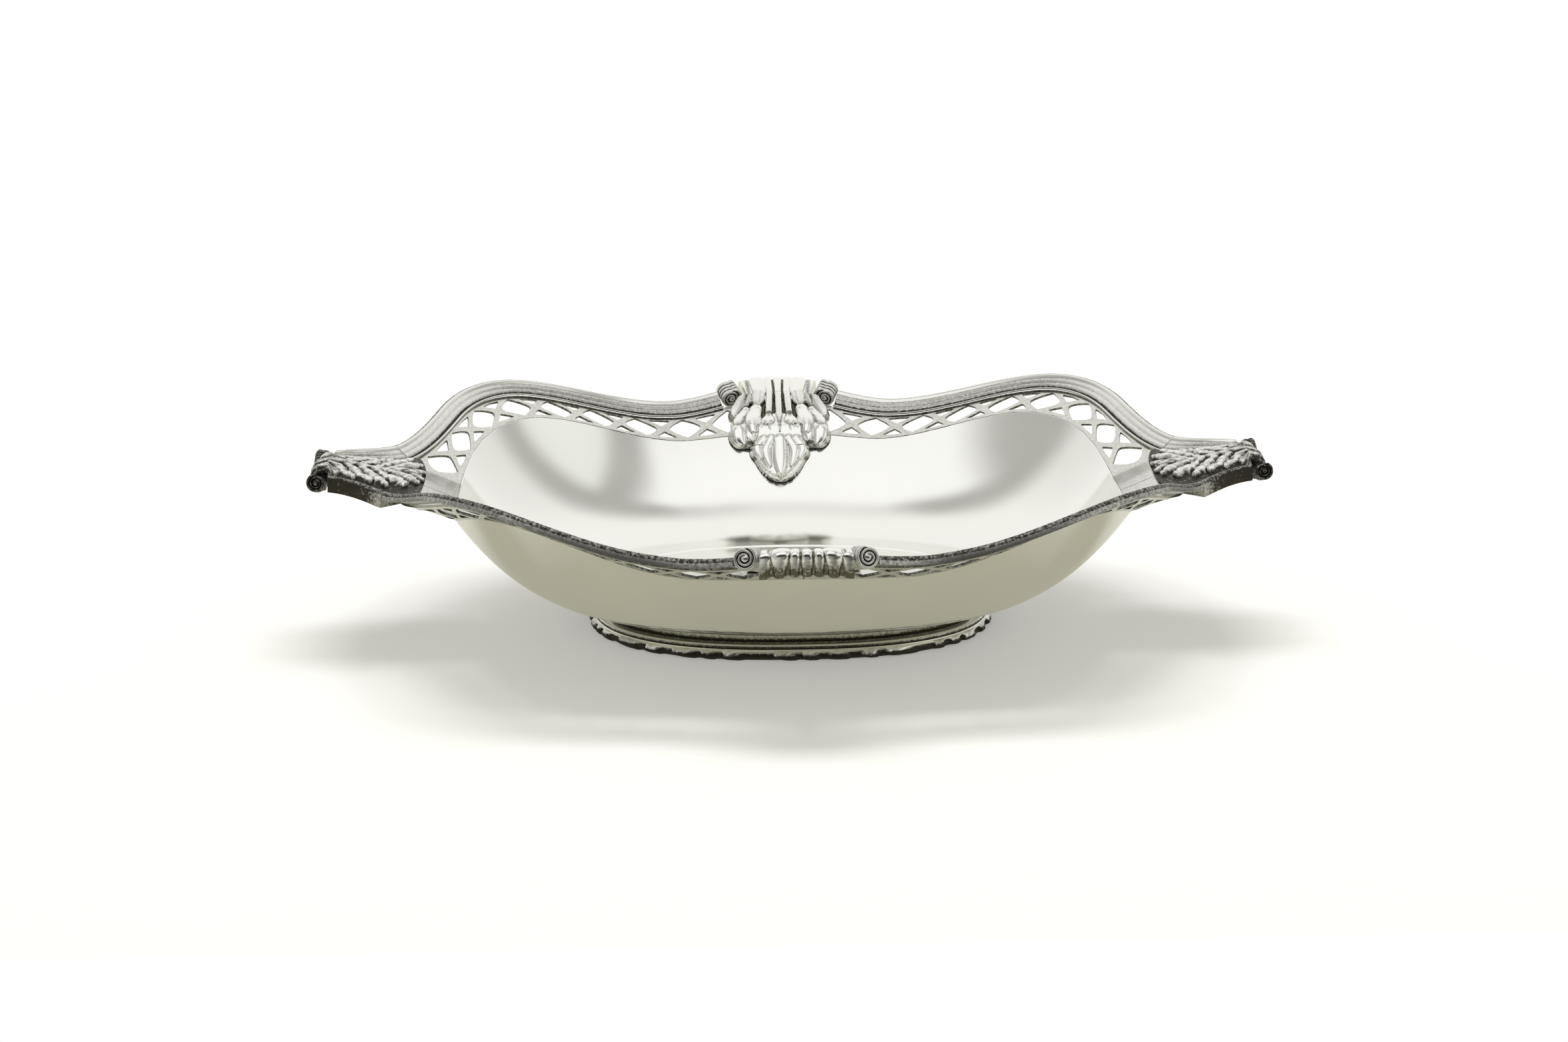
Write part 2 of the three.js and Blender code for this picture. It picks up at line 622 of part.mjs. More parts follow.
// Leaf lobes, in millimetres across and out from the leaf's inner end.
const LEAF_LOBES = withTwins([
  { from: [0, 0], to: [0, 41], half: 2.2, rise: 2.2 },
  { from: [3, 9], to: [9, 0], half: 3.4, rise: 2.4 },
  { from: [4, 15], to: [17, 3], half: 3.6, rise: 2.6 },
  { from: [5, 25], to: [24, 9], half: 3.4, rise: 2.6 },
  { from: [4, 33], to: [24, 17], half: 3, rise: 2.4 },
  { from: [4, 41], to: [20, 25], half: 2.8, rise: 2 },
  { from: [12, 46], to: [17, 29], half: 2.2, rise: 1.6 },
  { from: [5, 43.5], to: [7, 31], half: 2.8, rise: 1.8 },
]);

// The leaf lies between the mouldings, then spreads over their ends to the full width of the
// handle, and then passes between the two scrolls. Each row gives its place on the leaf's line,
// its half width there and how far its edges rise above its middle.
function leafRows(line) {
  const length = line.getLength();
  const shareAt = (x) => {
    let low = 0;
    let high = 0.75;
    for (let i = 0; i < 30; i++) {
      const middle = (low + high) / 2;
      if (line.getPointAt(middle).x < x) low = middle;
      else high = middle;
    }
    return low;
  };
  const edgeAt = (x) => rimPoint(angleWhere(x, 0, SMALL_STEP, CORNER_ANGLE));
  const end = fromRim(rimFrame(MOULDING_END_ANGLE), -MOULDING_WIDTH, 0);
  const tip = rimPoint(SMALL_STEP);
  const rows = [];
  const innerRows = 7;
  for (let i = 0; i <= innerRows; i++) {
    const share = shareAt(end.x - SEAM) * (i / innerRows);
    const rounding = Math.sqrt(1 - (1 - i / innerRows) ** 2);
    const halfWidth = lerp(LEAF_START_HALF_WIDTH, end.y - 2 * SEAM, rounding);
    rows.push({ share, halfWidth, edgeRise: (i / innerRows) ** 2 * (end.z - line.getPointAt(share).z) });
  }
  const outerRows = 6;
  for (let i = 0; i <= outerRows; i++) {
    const x = lerp(MOULDING_END_X + 2 * SEAM, tip.x, i / outerRows);
    const edge = edgeAt(x);
    const share = shareAt(x);
    rows.push({ share, halfWidth: edge.y, edgeRise: edge.z - line.getPointAt(share).z });
  }
  const start = rows.at(-1).share + SEAM / length;
  const rollRows = 9;
  for (let i = 0; i <= rollRows; i++) {
    const halfWidth = tip.y - SCROLL_WIDTH - 2 * SLOPING_SEAM;
    rows.push({ share: lerp(start, 1, i / rollRows), halfWidth, edgeRise: 0 });
  }
  return rows;
}

function makeHandleLeaf() {
  const columns = 12;
  const line = makeLeafLine();
  const length = line.getLength();
  const shares = Array.from({ length: columns + 1 }, (_, j) => (2 * j) / columns - 1);
  const backRows = [];
  const faceRows = [];
  for (const { share, halfWidth, edgeRise } of leafRows(line)) {
    const point = line.getPointAt(share);
    const along = line.getTangentAt(share);
    const normal = new THREE.Vector3(-along.z, 0, along.x);
    const dish = LEAF_DISH * Math.max(0, edgeRise - LEAF_PLATE);
    const at = (a, height) => (
      point.clone().add(new THREE.Vector3(0, a * halfWidth, dish * a * a)).addScaledVector(normal, height)
    );
    backRows.push(shares.map((a) => at(a, 0)));
    faceRows.push(shares.map((a) => {
      const relief = Math.abs(a) > PLATE_EDGE ? 0 : lobeRelief(LEAF_LOBES, a * halfWidth, share * length);
      return at(a, LEAF_PLATE + relief);
    }));
  }
  return plateSolid(backRows, faceRows);
}

// The foot's outer edge at the ground stands out beyond the flat of the bowl.
const FOOT_LENGTH = FLOOR_LENGTH + 2 * FOOT_FLARE;
const FOOT_WIDTH = FLOOR_WIDTH + 2 * FOOT_SIDE_FLARE;

// A ring that runs round the oval foot. The section is measured outwards and upwards from the
// foot's outer edge at the ground.
function footRing(section, steps, swell) {
  const rings = Array.from({ length: steps }, (_, i) => {
    const angle = (i / steps) * 2 * HALF_TURN;
    return section.map(([u, v], j) => {
      const out = u + (swell ? swell(i, j) : 0);
      const plan = oblong(FOOT_LENGTH + 2 * out, FOOT_WIDTH + 2 * out, FLOOR_SQUARENESS, angle);
      return new THREE.Vector3(plan.x, plan.y, v);
    });
  });
  return loft(rings);
}

function makeFootRiser() {
  const seat = -FOOT_FLARE;
  const top = FLOOR_HEIGHT - SEAM;
  const bottom = BORDER_HEIGHT + SEAM;
  return footRing([
    [seat - 1.5, top], [seat + 0.6, top], [seat + 0.2, top - 2], [seat + 1, bottom + 1.8],
    [-2.2, bottom + 1.2], [-1.6, bottom], [seat - 1, bottom], [seat - 1.5, bottom + 2.4],
  ], 60);
}

function makeFootBorder() {
  const perLeaf = 2;
  const reliefPoints = [1, 2, 3];
  const swell = (i, j) => (reliefPoints.includes(j) && i % perLeaf === 0 ? -BORDER_RELIEF : 0);
  return footRing([
    [-1.2, 0], [0, 1.2], [-0.2, 2.8], [-1.4, BORDER_HEIGHT], [-7.6, BORDER_HEIGHT],
    [-7.6, BORDER_HEIGHT - 1.4], [-5.4, 1.6], [-4.6, 0],
  ], BORDER_LEAVES * perLeaf, swell);
}

function addPiece(group, name, geometry, material) {
  const mesh = new THREE.Mesh(geometry, material);
  mesh.name = name;
  group.add(mesh);
}

function makeDish() {
  const dish = new THREE.Group();
  addPiece(dish, 'bowl', makeBowl(), silver);
  addPiece(dish, 'foot_riser', makeFootRiser(), silver);
  addPiece(dish, 'foot_border', makeFootBorder(), castSilver);
  const gallery = makeGallery();
  const moulding = makeMoulding();
  const sideScroll = makeScroll(rimFrame(SIDE_SCROLL_ANGLE), SIDE_SCROLL_RADIUS, SIDE_SCROLL_LIFT);
  const handleScroll = makeScroll(handleScrollFrame(), HANDLE_SCROLL_RADIUS, HANDLE_SCROLL_LIFT);
  const cartouche = makeCartouche();
  const leaf = makeHandleLeaf();
  const sides = [['front', -1], ['back', 1]];
  const ends = [['left', -1], ['right', 1]];
  for (const [side, sy] of sides) {
    addPiece(dish, `cartouche_${side}`, mirrored(cartouche, 1, sy), castSilver);
    for (const [end, sx] of ends) {
      addPiece(dish, `gallery_${side}_${end}`, mirrored(gallery, sx, sy), silver);
      addPiece(dish, `rim_moulding_${side}_${end}`, mirrored(moulding, sx, sy), castSilver);
      addPiece(dish, `side_scroll_${side}_${end}`, mirrored(sideScroll, sx, sy), castSilver);
      addPiece(dish, `handle_scroll_${side}_${end}`, mirrored(handleScroll, sx, sy), castSilver);
    }
  }
  for (const [end, sx] of ends) {
    addPiece(dish, `handle_leaf_${end}`, mirrored(leaf, sx, 1), castSilver);
  }
  return dish;
}

export default makeDish();
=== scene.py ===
import copy
import math

import bmesh
import bpy
import numpy as np
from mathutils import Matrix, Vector
from mathutils.geometry import tessellate_polygon


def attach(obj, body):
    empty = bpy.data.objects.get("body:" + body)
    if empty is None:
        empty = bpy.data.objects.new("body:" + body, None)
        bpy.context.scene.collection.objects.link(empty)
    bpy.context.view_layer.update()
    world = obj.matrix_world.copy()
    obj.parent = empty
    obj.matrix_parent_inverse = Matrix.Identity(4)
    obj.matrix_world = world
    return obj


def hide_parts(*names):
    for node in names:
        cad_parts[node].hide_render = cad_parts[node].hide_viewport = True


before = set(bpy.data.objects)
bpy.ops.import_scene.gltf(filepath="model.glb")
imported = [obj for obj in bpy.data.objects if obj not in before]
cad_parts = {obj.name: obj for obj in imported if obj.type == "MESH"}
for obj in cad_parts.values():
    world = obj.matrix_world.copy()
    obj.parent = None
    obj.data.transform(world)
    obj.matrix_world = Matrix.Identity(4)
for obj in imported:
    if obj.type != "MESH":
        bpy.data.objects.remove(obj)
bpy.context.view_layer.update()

# Lengths in this script are millimetres, as in the dish's own drawing, and turn into metres
# where a mesh is made. Angles run round the dish from the right handle towards the back.
MM = 0.001
PI = math.pi
QUARTER = PI / 2
SIDES = [("front", -1), ("back", 1)]
ENDS = [("left", -1), ("right", 1)]

RIM_LENGTH = 302
RIM_WIDTH = 226
RIM_SQUARENESS = 3.2
SIDE_BULGE = 13
SIDE_BULGE_REACH = math.radians(22)
RIM_HEIGHT_LOW = 60
RIM_HEIGHT_CORNER = 76
RIM_HEIGHT_END = 63.5
SIDE_LIFT = 5.6
SIDE_LIFT_REACH = math.radians(18)
CORNER_ANGLE = math.radians(43)
WAVE_REACH_TO_SIDE = math.radians(31)
WAVE_REACH_TO_END = math.radians(32)

HANDLE_ANGLE = math.radians(31)
HANDLE_LENGTH = 380
HANDLE_TIP_WIDTH = 39
HANDLE_TIP_LIFT = 2.5
HANDLE_ROOT_REACH = 21
HANDLE_ROOT_HALF_WIDTH = 27
HANDLE_ROOT_SETBACK = 21
MOULDING_END_X = 160

MOULDING_WIDTH = 9.8
MOULDING_DROP = 5.2
MOULDING_EDGE = 3.2

SHOULDER_INSET = 18.5
SHOULDER_DROP = 13.5
SHOULDER_SHARE_OF_LIFT = 0.3
SHOULDER_SHARE_OF_BULGE = 0.5
SHEET = 1.2
GALLERY_SHEET = 1.1
FLOOR_HEIGHT = 11
FLOOR_LENGTH = 148
FLOOR_WIDTH = 103
FLOOR_SQUARENESS = 2.4
WALL_CURVE = 2.3
PIERCINGS = 9
TRELLIS_BAR = 1.7
TRELLIS_RAIL = 1.1
PLAIN_BESIDE_MIDDLE = 13
PLAIN_BESIDE_END = 24
LIP_LEAVES_MOULDING = math.radians(18)
LIP_CLOSES = math.radians(4)
LIP_END_REACH = 7
LIP_UNDER_MOULDING = 1.3
SIDE_FULLNESS = 0.07
TRIANGLE_SAG = 0.3

CARTOUCHE_HALF_WIDTH = 16.3
CARTOUCHE_PLATE = 1.6
CARTOUCHE_PASSES_LIP = 11.2
SIDE_SCROLL_RADIUS = 4.9
SIDE_SCROLL_LIFT = 4.4
HANDLE_SCROLL_RADIUS = 4.1
HANDLE_SCROLL_LIFT = 1.4
SCROLL_CLOSING = 0.28
SCROLL_WIDTH = 8.5

LEAF_PLATE = 1.8
LEAF_START_HALF_WIDTH = 4

FOOT_FLARE = 7
FOOT_SIDE_FLARE = 6
BORDER_HEIGHT = 4.6
BORDER_LEAVES = 40
BORDER_RELIEF = 1.2

SEAM = 0.35
SLOPING_SEAM = 0.72

# A turn too small to see, for slopes and for places just beside the dish's long axis.
SLIGHT_TURN = 1e-3


def smoothstep(x, low, high):
    share = np.clip((x - low) / (high - low), 0, 1)
    return share * share * (3 - 2 * share)


def lerp(a, b, share):
    return a + (b - a) * share


def vec(*parts):
    return np.stack(np.broadcast_arrays(*parts), -1).astype(float)


def unit(v):
    return v / np.linalg.norm(v, axis=-1, keepdims=True)


def oblong(length, width, squareness, angle):
    """A point of a rounded oblong; 2 as squareness makes an ellipse."""
    c, s = np.cos(angle), np.sin(angle)
    reach = (np.abs(c) ** squareness + np.abs(s) ** squareness) ** (-1 / squareness)
    return length / 2 * reach * c, width / 2 * reach * s


def wave(angle, middle, reach):
    """1 at the middle of a wave and 0 at its reach on either side."""
    share = np.minimum(1, np.abs(angle - middle) / reach)
    return 0.5 + 0.5 * np.cos(PI * share)


def fold(angle):
    """The same place of the first quarter, with the signs that bring it back."""
    x, y = np.cos(angle), np.sin(angle)
    return np.arctan2(np.abs(y), np.abs(x)), np.where(x < 0, -1, 1), np.where(y < 0, -1, 1)


def rim_height(angle):
    to_side = angle > CORNER_ANGLE
    low = np.where(to_side, RIM_HEIGHT_LOW, RIM_HEIGHT_END)
    reach = np.where(to_side, WAVE_REACH_TO_SIDE, WAVE_REACH_TO_END)
    corner = (RIM_HEIGHT_CORNER - low) * wave(angle, CORNER_ANGLE, reach)
    return low + corner + SIDE_LIFT * wave(angle, QUARTER, SIDE_LIFT_REACH)


def oblong_rim(angle):
    x, y = oblong(RIM_LENGTH, RIM_WIDTH, RIM_SQUARENESS, angle)
    return x, y + SIDE_BULGE * wave(angle, QUARTER, SIDE_BULGE_REACH)


def handle_sweep_points():
    """Four points of the curve from the oblong rim out to the scroll at the handle's tip."""
    start = np.array(oblong_rim(HANDLE_ANGLE))
    heading = unit(np.array(oblong_rim(HANDLE_ANGLE - SLIGHT_TURN)) - start)
    tip = np.array([HANDLE_LENGTH / 2 - 2 * HANDLE_SCROLL_RADIUS, HANDLE_TIP_WIDTH / 2])
    root = np.array([tip[0] - HANDLE_ROOT_SETBACK, HANDLE_ROOT_HALF_WIDTH])
    return start, start + heading * HANDLE_ROOT_REACH, root, tip


HANDLE_SWEEP = handle_sweep_points()


def rim_point(any_angle):
    angle, sx, sy = fold(any_angle)
    t = np.clip(1 - angle / HANDLE_ANGLE, 0, 1)
    weights = ((1 - t) ** 3, 3 * t * (1 - t) ** 2, 3 * t * t * (1 - t), t ** 3)
    swept = [sum(w * p[axis] for w, p in zip(weights, HANDLE_SWEEP)) for axis in (0, 1)]
    plain = oblong_rim(angle)
    on_rim = angle >= HANDLE_ANGLE
    lift = HANDLE_TIP_LIFT * (1 - smoothstep(angle, 0, HANDLE_ANGLE / 2))
    x, y = (np.where(on_rim, plain[axis], swept[axis]) for axis in (0, 1))
    return vec(sx * x, sy * y, rim_height(angle) + lift)


def oblong_rim_point(any_angle):
    angle, sx, sy = fold(any_angle)
    x, y = oblong_rim(angle)
    return vec(sx * x, sy * y, rim_height(angle))


def frame_of(point_at, angle):
    """A point of a rim, the level direction away from the dish there, and the one along it."""
    point = point_at(angle)
    along = point_at(angle + SLIGHT_TURN) - point_at(angle - SLIGHT_TURN)
    along[..., 2] = 0
    along = unit(along)
    outward = vec(along[..., 1], -along[..., 0], 0)
    away = np.sum(outward * point, -1, keepdims=True)
    return point, np.where(away < 0, -outward, outward), along


def from_rim(rim, u, v):
    """Points this far outward and upward from a rim's point."""
    point, outward, _ = rim
    u, v = np.asarray(u, float), np.asarray(v, float)
    return point + outward * u[..., None] + vec(0 * v, 0 * v, v)


LIP_INSET = MOULDING_WIDTH - LIP_UNDER_MOULDING
LIP_DROP = MOULDING_DROP + SEAM + 0.55 * GALLERY_SHEET


def lip_point(any_angle):
    """The trellis's top edge: under the moulding's inner edge, and closed under the handle."""
    angle = fold(any_angle)[0]
    under = from_rim(frame_of(rim_point, any_angle), -LIP_INSET, -LIP_DROP)
    round_end = from_rim(frame_of(oblong_rim_point, any_angle), LIP_END_REACH - LIP_INSET, -LIP_DROP)
    share = smoothstep(angle, LIP_CLOSES, LIP_LEAVES_MOULDING)[..., None]
    return lerp(round_end, under, share)


def shoulder_point(any_angle):
    length, width = RIM_LENGTH - 2 * SHOULDER_INSET, RIM_WIDTH - 2 * SHOULDER_INSET
    x, y = oblong(length, width, RIM_SQUARENESS, any_angle)
    angle, _, sy = fold(any_angle)
    lift = SIDE_LIFT * wave(angle, QUARTER, SIDE_LIFT_REACH)
    bulge = SIDE_BULGE * wave(angle, QUARTER, SIDE_BULGE_REACH)
    z = rim_height(angle) - (1 - SHOULDER_SHARE_OF_LIFT) * lift - SHOULDER_DROP
    return vec(x, y + sy * SHOULDER_SHARE_OF_BULGE * bulge, z)


def wall_point(angle, level):
    """Middle of the sheet: level 0 the floor's edge, 1 the shoulder, 2 the trellis's top edge."""
    angle, level = np.broadcast_arrays(np.asarray(angle, float), np.asarray(level, float))
    shoulder = shoulder_point(angle)
    lip = lip_point(angle)
    fx, fy = oblong(FLOOR_LENGTH, FLOOR_WIDTH, FLOOR_SQUARENESS, angle)
    z = lerp(FLOOR_HEIGHT + SHEET / 2, shoulder[..., 2], np.clip(level, 0, 1) ** WALL_CURVE)
    bowl = vec(lerp(fx, shoulder[..., 0], level), lerp(fy, shoulder[..., 1], level), z)
    border = lerp(shoulder, lip, level[..., None] - 1)
    return np.where(level[..., None] > 1, border, bowl)


def wall_normal(angle, level):
    angle, level = np.broadcast_arrays(np.asarray(angle, float), np.asarray(level, float))
    step = SLIGHT_TURN
    base = np.where(level > 1, np.maximum(level, 1 + 2 * step), np.clip(level, 2 * step, 1 - 2 * step))
    around = wall_point(angle + step, base) - wall_point(angle - step, base)
    up = wall_point(angle, base + step) - wall_point(angle, base - step)
    normal = unit(np.cross(around, up))
    return np.where(normal[..., 2:] < 0, -normal, normal)


def on_wall(angle, level, height):
    """Points this high over the middle of the sheet, towards the inside of the dish."""
    height = np.asarray(height, float)
    return wall_point(angle, level) + wall_normal(angle, level) * height[..., None]


LINE_SAMPLES = 400


def even_parameters(point_at, start, end, count):
    """Parameters that part a line into equal lengths, and the line's length."""
    t = np.linspace(start, end, LINE_SAMPLES)
    points = point_at(t)
    reached = np.concatenate([[0], np.cumsum(np.linalg.norm(np.diff(points, axis=0), axis=1))])
    return np.interp(np.linspace(0, reached[-1], count), reached, t), reached[-1]


def grid_faces(rows, columns, wrap_rows=False, wrap_columns=False):
    """Quads between neighbouring rows and columns of a grid of vertices."""
    i, j = np.meshgrid(
        np.arange(rows if wrap_rows else rows - 1), np.arange(columns if wrap_columns else columns - 1),
        indexing="ij",
    )
    i2, j2 = (i + 1) % rows, (j + 1) % columns
    quads = np.stack([i * columns + j, i * columns + j2, i2 * columns + j2, i2 * columns + j], -1)
    return quads.reshape(-1, 4)


def capped_tube(rows, columns):
    """The faces of a tube through rings of vertices, closed at both ends."""
    last = (rows - 1) * columns
    ends = [list(range(columns))[::-1], [last + j for j in range(columns)]]
    return grid_faces(rows, columns, wrap_columns=True).tolist() + ends


def signed_volume(mesh):
    mesh.calc_loop_triangles()
    corners = np.empty(3 * len(mesh.loop_triangles), int)
    mesh.loop_triangles.foreach_get("vertices", corners)
    places = np.empty(3 * len(mesh.vertices))
    mesh.vertices.foreach_get("co", places)
    a, b, c = places.reshape(-1, 3)[corners].reshape(-1, 3, 3).transpose(1, 0, 2)
    return np.sum(a * np.cross(b, c))


def add_object(name, data):
    made = bpy.data.objects.new(name, data)
    bpy.context.scene.collection.objects.link(made)
    return made


def quarters():
    """The dish's quarters: the words for each one's place, and the signs of its x and y."""
    for side, sy in SIDES:
        for end, sx in ENDS:
            yield f"{side}_{end}", (sx, sy)


def make_piece(name, points, faces, material, nodes, shade_and_tarnish=None, signs=(1, 1), sharp=35):
    """A mesh object in the dish's frame. Its darkness is 0 on high places and 1 or more in the depths,
    as painted shade and as tarnish in the hollows; signs mirror it in X and Y, and edges sharper than
    this many degrees aren't smoothed."""
    points = np.asarray(points, float) * [signs[0], signs[1], 1]
    mesh = bpy.data.meshes.new(name)
    mesh.from_pydata((points * MM).tolist(), [], [tuple(face) for face in faces])
    if signed_volume(mesh) < 0:
        mesh.flip_normals()
    finish_piece(name, mesh, material, nodes, sharp, shade_and_tarnish)


def finish_piece(name, mesh, material, nodes, sharp, shade_and_tarnish=None):
    layer = mesh.attributes.get("shade_and_tarnish") or mesh.attributes.new("shade_and_tarnish", "FLOAT", "POINT")
    if shade_and_tarnish is not None:
        layer.data.foreach_set("value", np.asarray(shade_and_tarnish, float))
    mesh.shade_smooth()
    mesh.set_sharp_from_angle(angle=math.radians(sharp))
    mesh.materials.append(material)
    piece = add_object(name, mesh)
    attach(piece, "root")
    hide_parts(*nodes)


def node(tree, kind, inputs=None, **settings):
    """A shader node. Each of its inputs is given a value, or the output of another node."""
    made = tree.nodes.new(kind)
    for key, value in settings.items():
        setattr(made, key, value)
    for key, value in (inputs or {}).items():
        if isinstance(value, bpy.types.NodeSocket):
            tree.links.new(value, made.inputs[key])
        else:
            made.inputs[key].default_value = value
    return made


def mixed_colour(tree, below, above, share):
    """A colour laid over another. Both are colours, or outputs of other nodes."""
    a, b = ((*colour, 1) if isinstance(colour, tuple) else colour for colour in (below, above))
    mix = node(tree, "ShaderNodeMix", {"Factor": share, "A": a, "B": b}, data_type="RGBA")
    return mix.outputs["Result"]


def new_material(name):
    material = bpy.data.materials.new(name)
    material.use_nodes = True
    return material, material.node_tree, material.node_tree.nodes["Principled BSDF"]


# Roughness of polished silver, how much darker its cloudy places are, and how high the fine
# scratches and the hammer's soft dents stand.
POLISH = 0.13
CLOUD_TONE = 0.955
SCRATCH_HEIGHT = 0.02 * MM
DENT_HEIGHT = 0.4 * MM


def silver_material(name, colour, shade_and_tarnish_colour, shade_and_tarnish_roughness, scratch, dent):
    """Polished silver: faint cloudy wear and fine scratches, and a dark colour laid on as painted shade, and
    as tarnish in the recesses.
    """
    material, tree, shader = new_material(name)
    where = node(tree, "ShaderNodeTexCoord").outputs["Object"]

    def noise(vector, scale, detail, roughness=0.5):
        settings = {"Vector": vector, "Scale": scale, "Detail": detail, "Roughness": roughness}
        return node(tree, "ShaderNodeTexNoise", settings).outputs["Fac"]

    def spread(value, low, high, start, end):
        limits = {"Value": value, "From Min": low, "From Max": high, "To Min": start, "To Max": end}
        return node(tree, "ShaderNodeMapRange", limits).outputs["Result"]

    # The attribute read here is painted shade, with tarnish in the hollows.
    shade_and_tarnish = node(tree, "ShaderNodeAttribute", attribute_name="shade_and_tarnish").outputs["Fac"]
    uneven = spread(noise(where, 900, 4, 0.6), 0.35, 0.65, 0.55, 1.1)
    uneven_shade_and_tarnish = node(tree, "ShaderNodeMath", {0: shade_and_tarnish, 1: uneven}, operation="MULTIPLY", use_clamp=True)
    depth = uneven_shade_and_tarnish.outputs[0]

    clouds = noise(where, 22, 5, 0.55)
    tint = node(tree, "ShaderNodeValToRGB", {"Fac": clouds})
    for stop, position, tone in zip(tint.color_ramp.elements, (0.3, 0.7), (CLOUD_TONE, 1)):
        stop.position = position
        stop.color = (*(tone * channel for channel in colour), 1)
    base = mixed_colour(tree, tint.outputs["Color"], shade_and_tarnish_colour, depth)
    worn_polish_and_less_shade = spread(clouds, 0.3, 0.75, POLISH * 0.8, POLISH * 1.35)
    ends = {"Factor": depth, "A": worn_polish_and_less_shade, "B": shade_and_tarnish_roughness}
    rough = node(tree, "ShaderNodeMix", ends, data_type="FLOAT")

    stretched = node(tree, "ShaderNodeMapping", {
        "Vector": where, "Scale": (60, 900, 300), "Rotation": (0.2, 0.1, 0.6),
    })
    hairlines = noise(stretched.outputs["Vector"], 4, 3, 0.7)
    fine = node(tree, "ShaderNodeBump", {
        "Height": hairlines, "Strength": scratch, "Distance": SCRATCH_HEIGHT,
    })
    broad = node(tree, "ShaderNodeBump", {
        "Height": noise(where, 45, 2), "Strength": dent, "Distance": DENT_HEIGHT,
        "Normal": fine.outputs["Normal"],
    })
    shader.inputs["Metallic"].default_value = 1
    tree.links.new(base, shader.inputs["Base Color"])
    tree.links.new(rough.outputs["Result"], shader.inputs["Roughness"])
    tree.links.new(broad.outputs["Normal"], shader.inputs["Normal"])
    return material


raised_silver = silver_material("raised_silver", (0.93, 0.925, 0.885), (0.1, 0.095, 0.07),
                                shade_and_tarnish_roughness=0.4, scratch=0.25, dent=0.1)
cast_silver = silver_material("cast_silver", (0.9, 0.89, 0.85), (0.055, 0.05, 0.04),
                              shade_and_tarnish_roughness=0.5, scratch=0.3, dent=0.2)
shell_silver = silver_material("shell_silver", (0.93, 0.925, 0.89), (0.13, 0.12, 0.085),
                               shade_and_tarnish_roughness=0.4, scratch=0.3, dent=0.2)

# How finely the bowl is divided on its way round, and how far the edge of its well steps up,
# between which levels of the wall. The step fades out again higher up.
ROUND_STEPS = 288
WELL_STEP = 0.55
WELL_STEP_RISES = (0.005, 0.045)
WELL_STEP_ENDS = (0.9, 0.3)


def make_bowl():
    """The raised bowl: a flat well with a soft step round it, and a rising wall."""
    angles = np.arange(ROUND_STEPS) / ROUND_STEPS * 2 * PI
    levels = np.concatenate([np.linspace(0, 0.1, 7)[:-1], np.linspace(0.1, 1, 22)])

    def ring(level, height):
        points = on_wall(angles, level, height)
        points[:, 2] += WELL_STEP * smoothstep(level, *WELL_STEP_RISES) * smoothstep(level, *WELL_STEP_ENDS)
        return points

    def flat_ring(share, z):
        x, y = oblong(FLOOR_LENGTH, FLOOR_WIDTH, FLOOR_SQUARENESS, angles)
        return vec(x * share, y * share, z)

    shares = [0.02, 0.3, 0.6, 0.85, 0.97]
    lip_rounding = [(-0.5, 0), (-0.35, 0.006), (0, 0.009), (0.35, 0.006), (0.5, 0)]
    rings = [flat_ring(share, FLOOR_HEIGHT) for share in shares]
    rings += [ring(level, -SHEET / 2) for level in levels[:-1]]
    rings += [ring(1 + beyond, height * SHEET) for height, beyond in lip_rounding]
    rings += [ring(level, SHEET / 2) for level in levels[:-1][::-1]]
    rings += [flat_ring(share, FLOOR_HEIGHT + SHEET) for share in shares[::-1]]
    faces = capped_tube(len(rings), ROUND_STEPS)
    make_piece("raised_bowl", np.concatenate(rings), faces, raised_silver, ["bowl"])


make_bowl()


def moulding_section():
    """Outward and upward from the rim's outer top edge: leaning edge, bead, broad band in two
    parts, deep groove, rail and underside. The third value is how dark the place is: painted shade on
    each band, most on the leaning edge, in the grooves and underneath, and tarnish in the grooves."""
    section = [(0, -MOULDING_EDGE, 0.7), (-0.05, -2.9, 0.75), (-0.75, -1.5, 0.7)]

    def reed(start, end, rise, depth, edge, outer=0, steps=6):
        """A domed band, with painted shade by edge along both its edges and by outer on its outer half."""
        start, end = np.array(start), np.array(end)
        normal = unit(np.array([end[1] - start[1], start[0] - end[0]]))
        for share in np.linspace(0, 1, steps + 1):
            at = lerp(start, end, share) + normal * (rise * math.sin(PI * share) ** 0.8)
            shade = depth + edge * (1 - math.sin(PI * share)) ** 3 + outer * smoothstep(share, 0.75, 0.5)
            section.append((at[0], at[1], shade))

    reed((-0.7, -1.4), (-3.2, -1.25), rise=1.2, depth=0, edge=0.15, outer=1.0, steps=10)
    section.append((-3.4, -1.6, 0.72))
    reed((-3.6, -1.55), (-5.4, -2.9), rise=0.2, depth=0.5, edge=0.15)
    section.append((-5.5, -3.02, 0.68))
    reed((-5.6, -3.0), (-7.5, -4.4), rise=0.26, depth=0.55, edge=0.6)
    groove = [(-7.7, -4.85, 1.6), (-8.3, -5.05, 1.7), (-8.7, -4.9, 1.3)]
    rail = [(-8.9, -4.65, 0.35), (-9.3, -4.5, 0.2), (-9.7, -4.6, 0.35), (-9.8, -4.8, 0.6)]
    underside = [(-9.8, -MOULDING_DROP, 0.9), (-7.4, -MOULDING_DROP, 1), (-4.4, -3.9, 1)]
    return np.array(section + groove + rail + underside)


HALVINGS = 40


def angle_where(x, offset, low, high):
    """The angle at which a line offset from the rim passes x."""
    for _ in range(HALVINGS):
        middle = (low + high) / 2
        if from_rim(frame_of(rim_point, middle), offset, 0)[0] > x:
            low = middle
        else:
            high = middle
    return (low + high) / 2


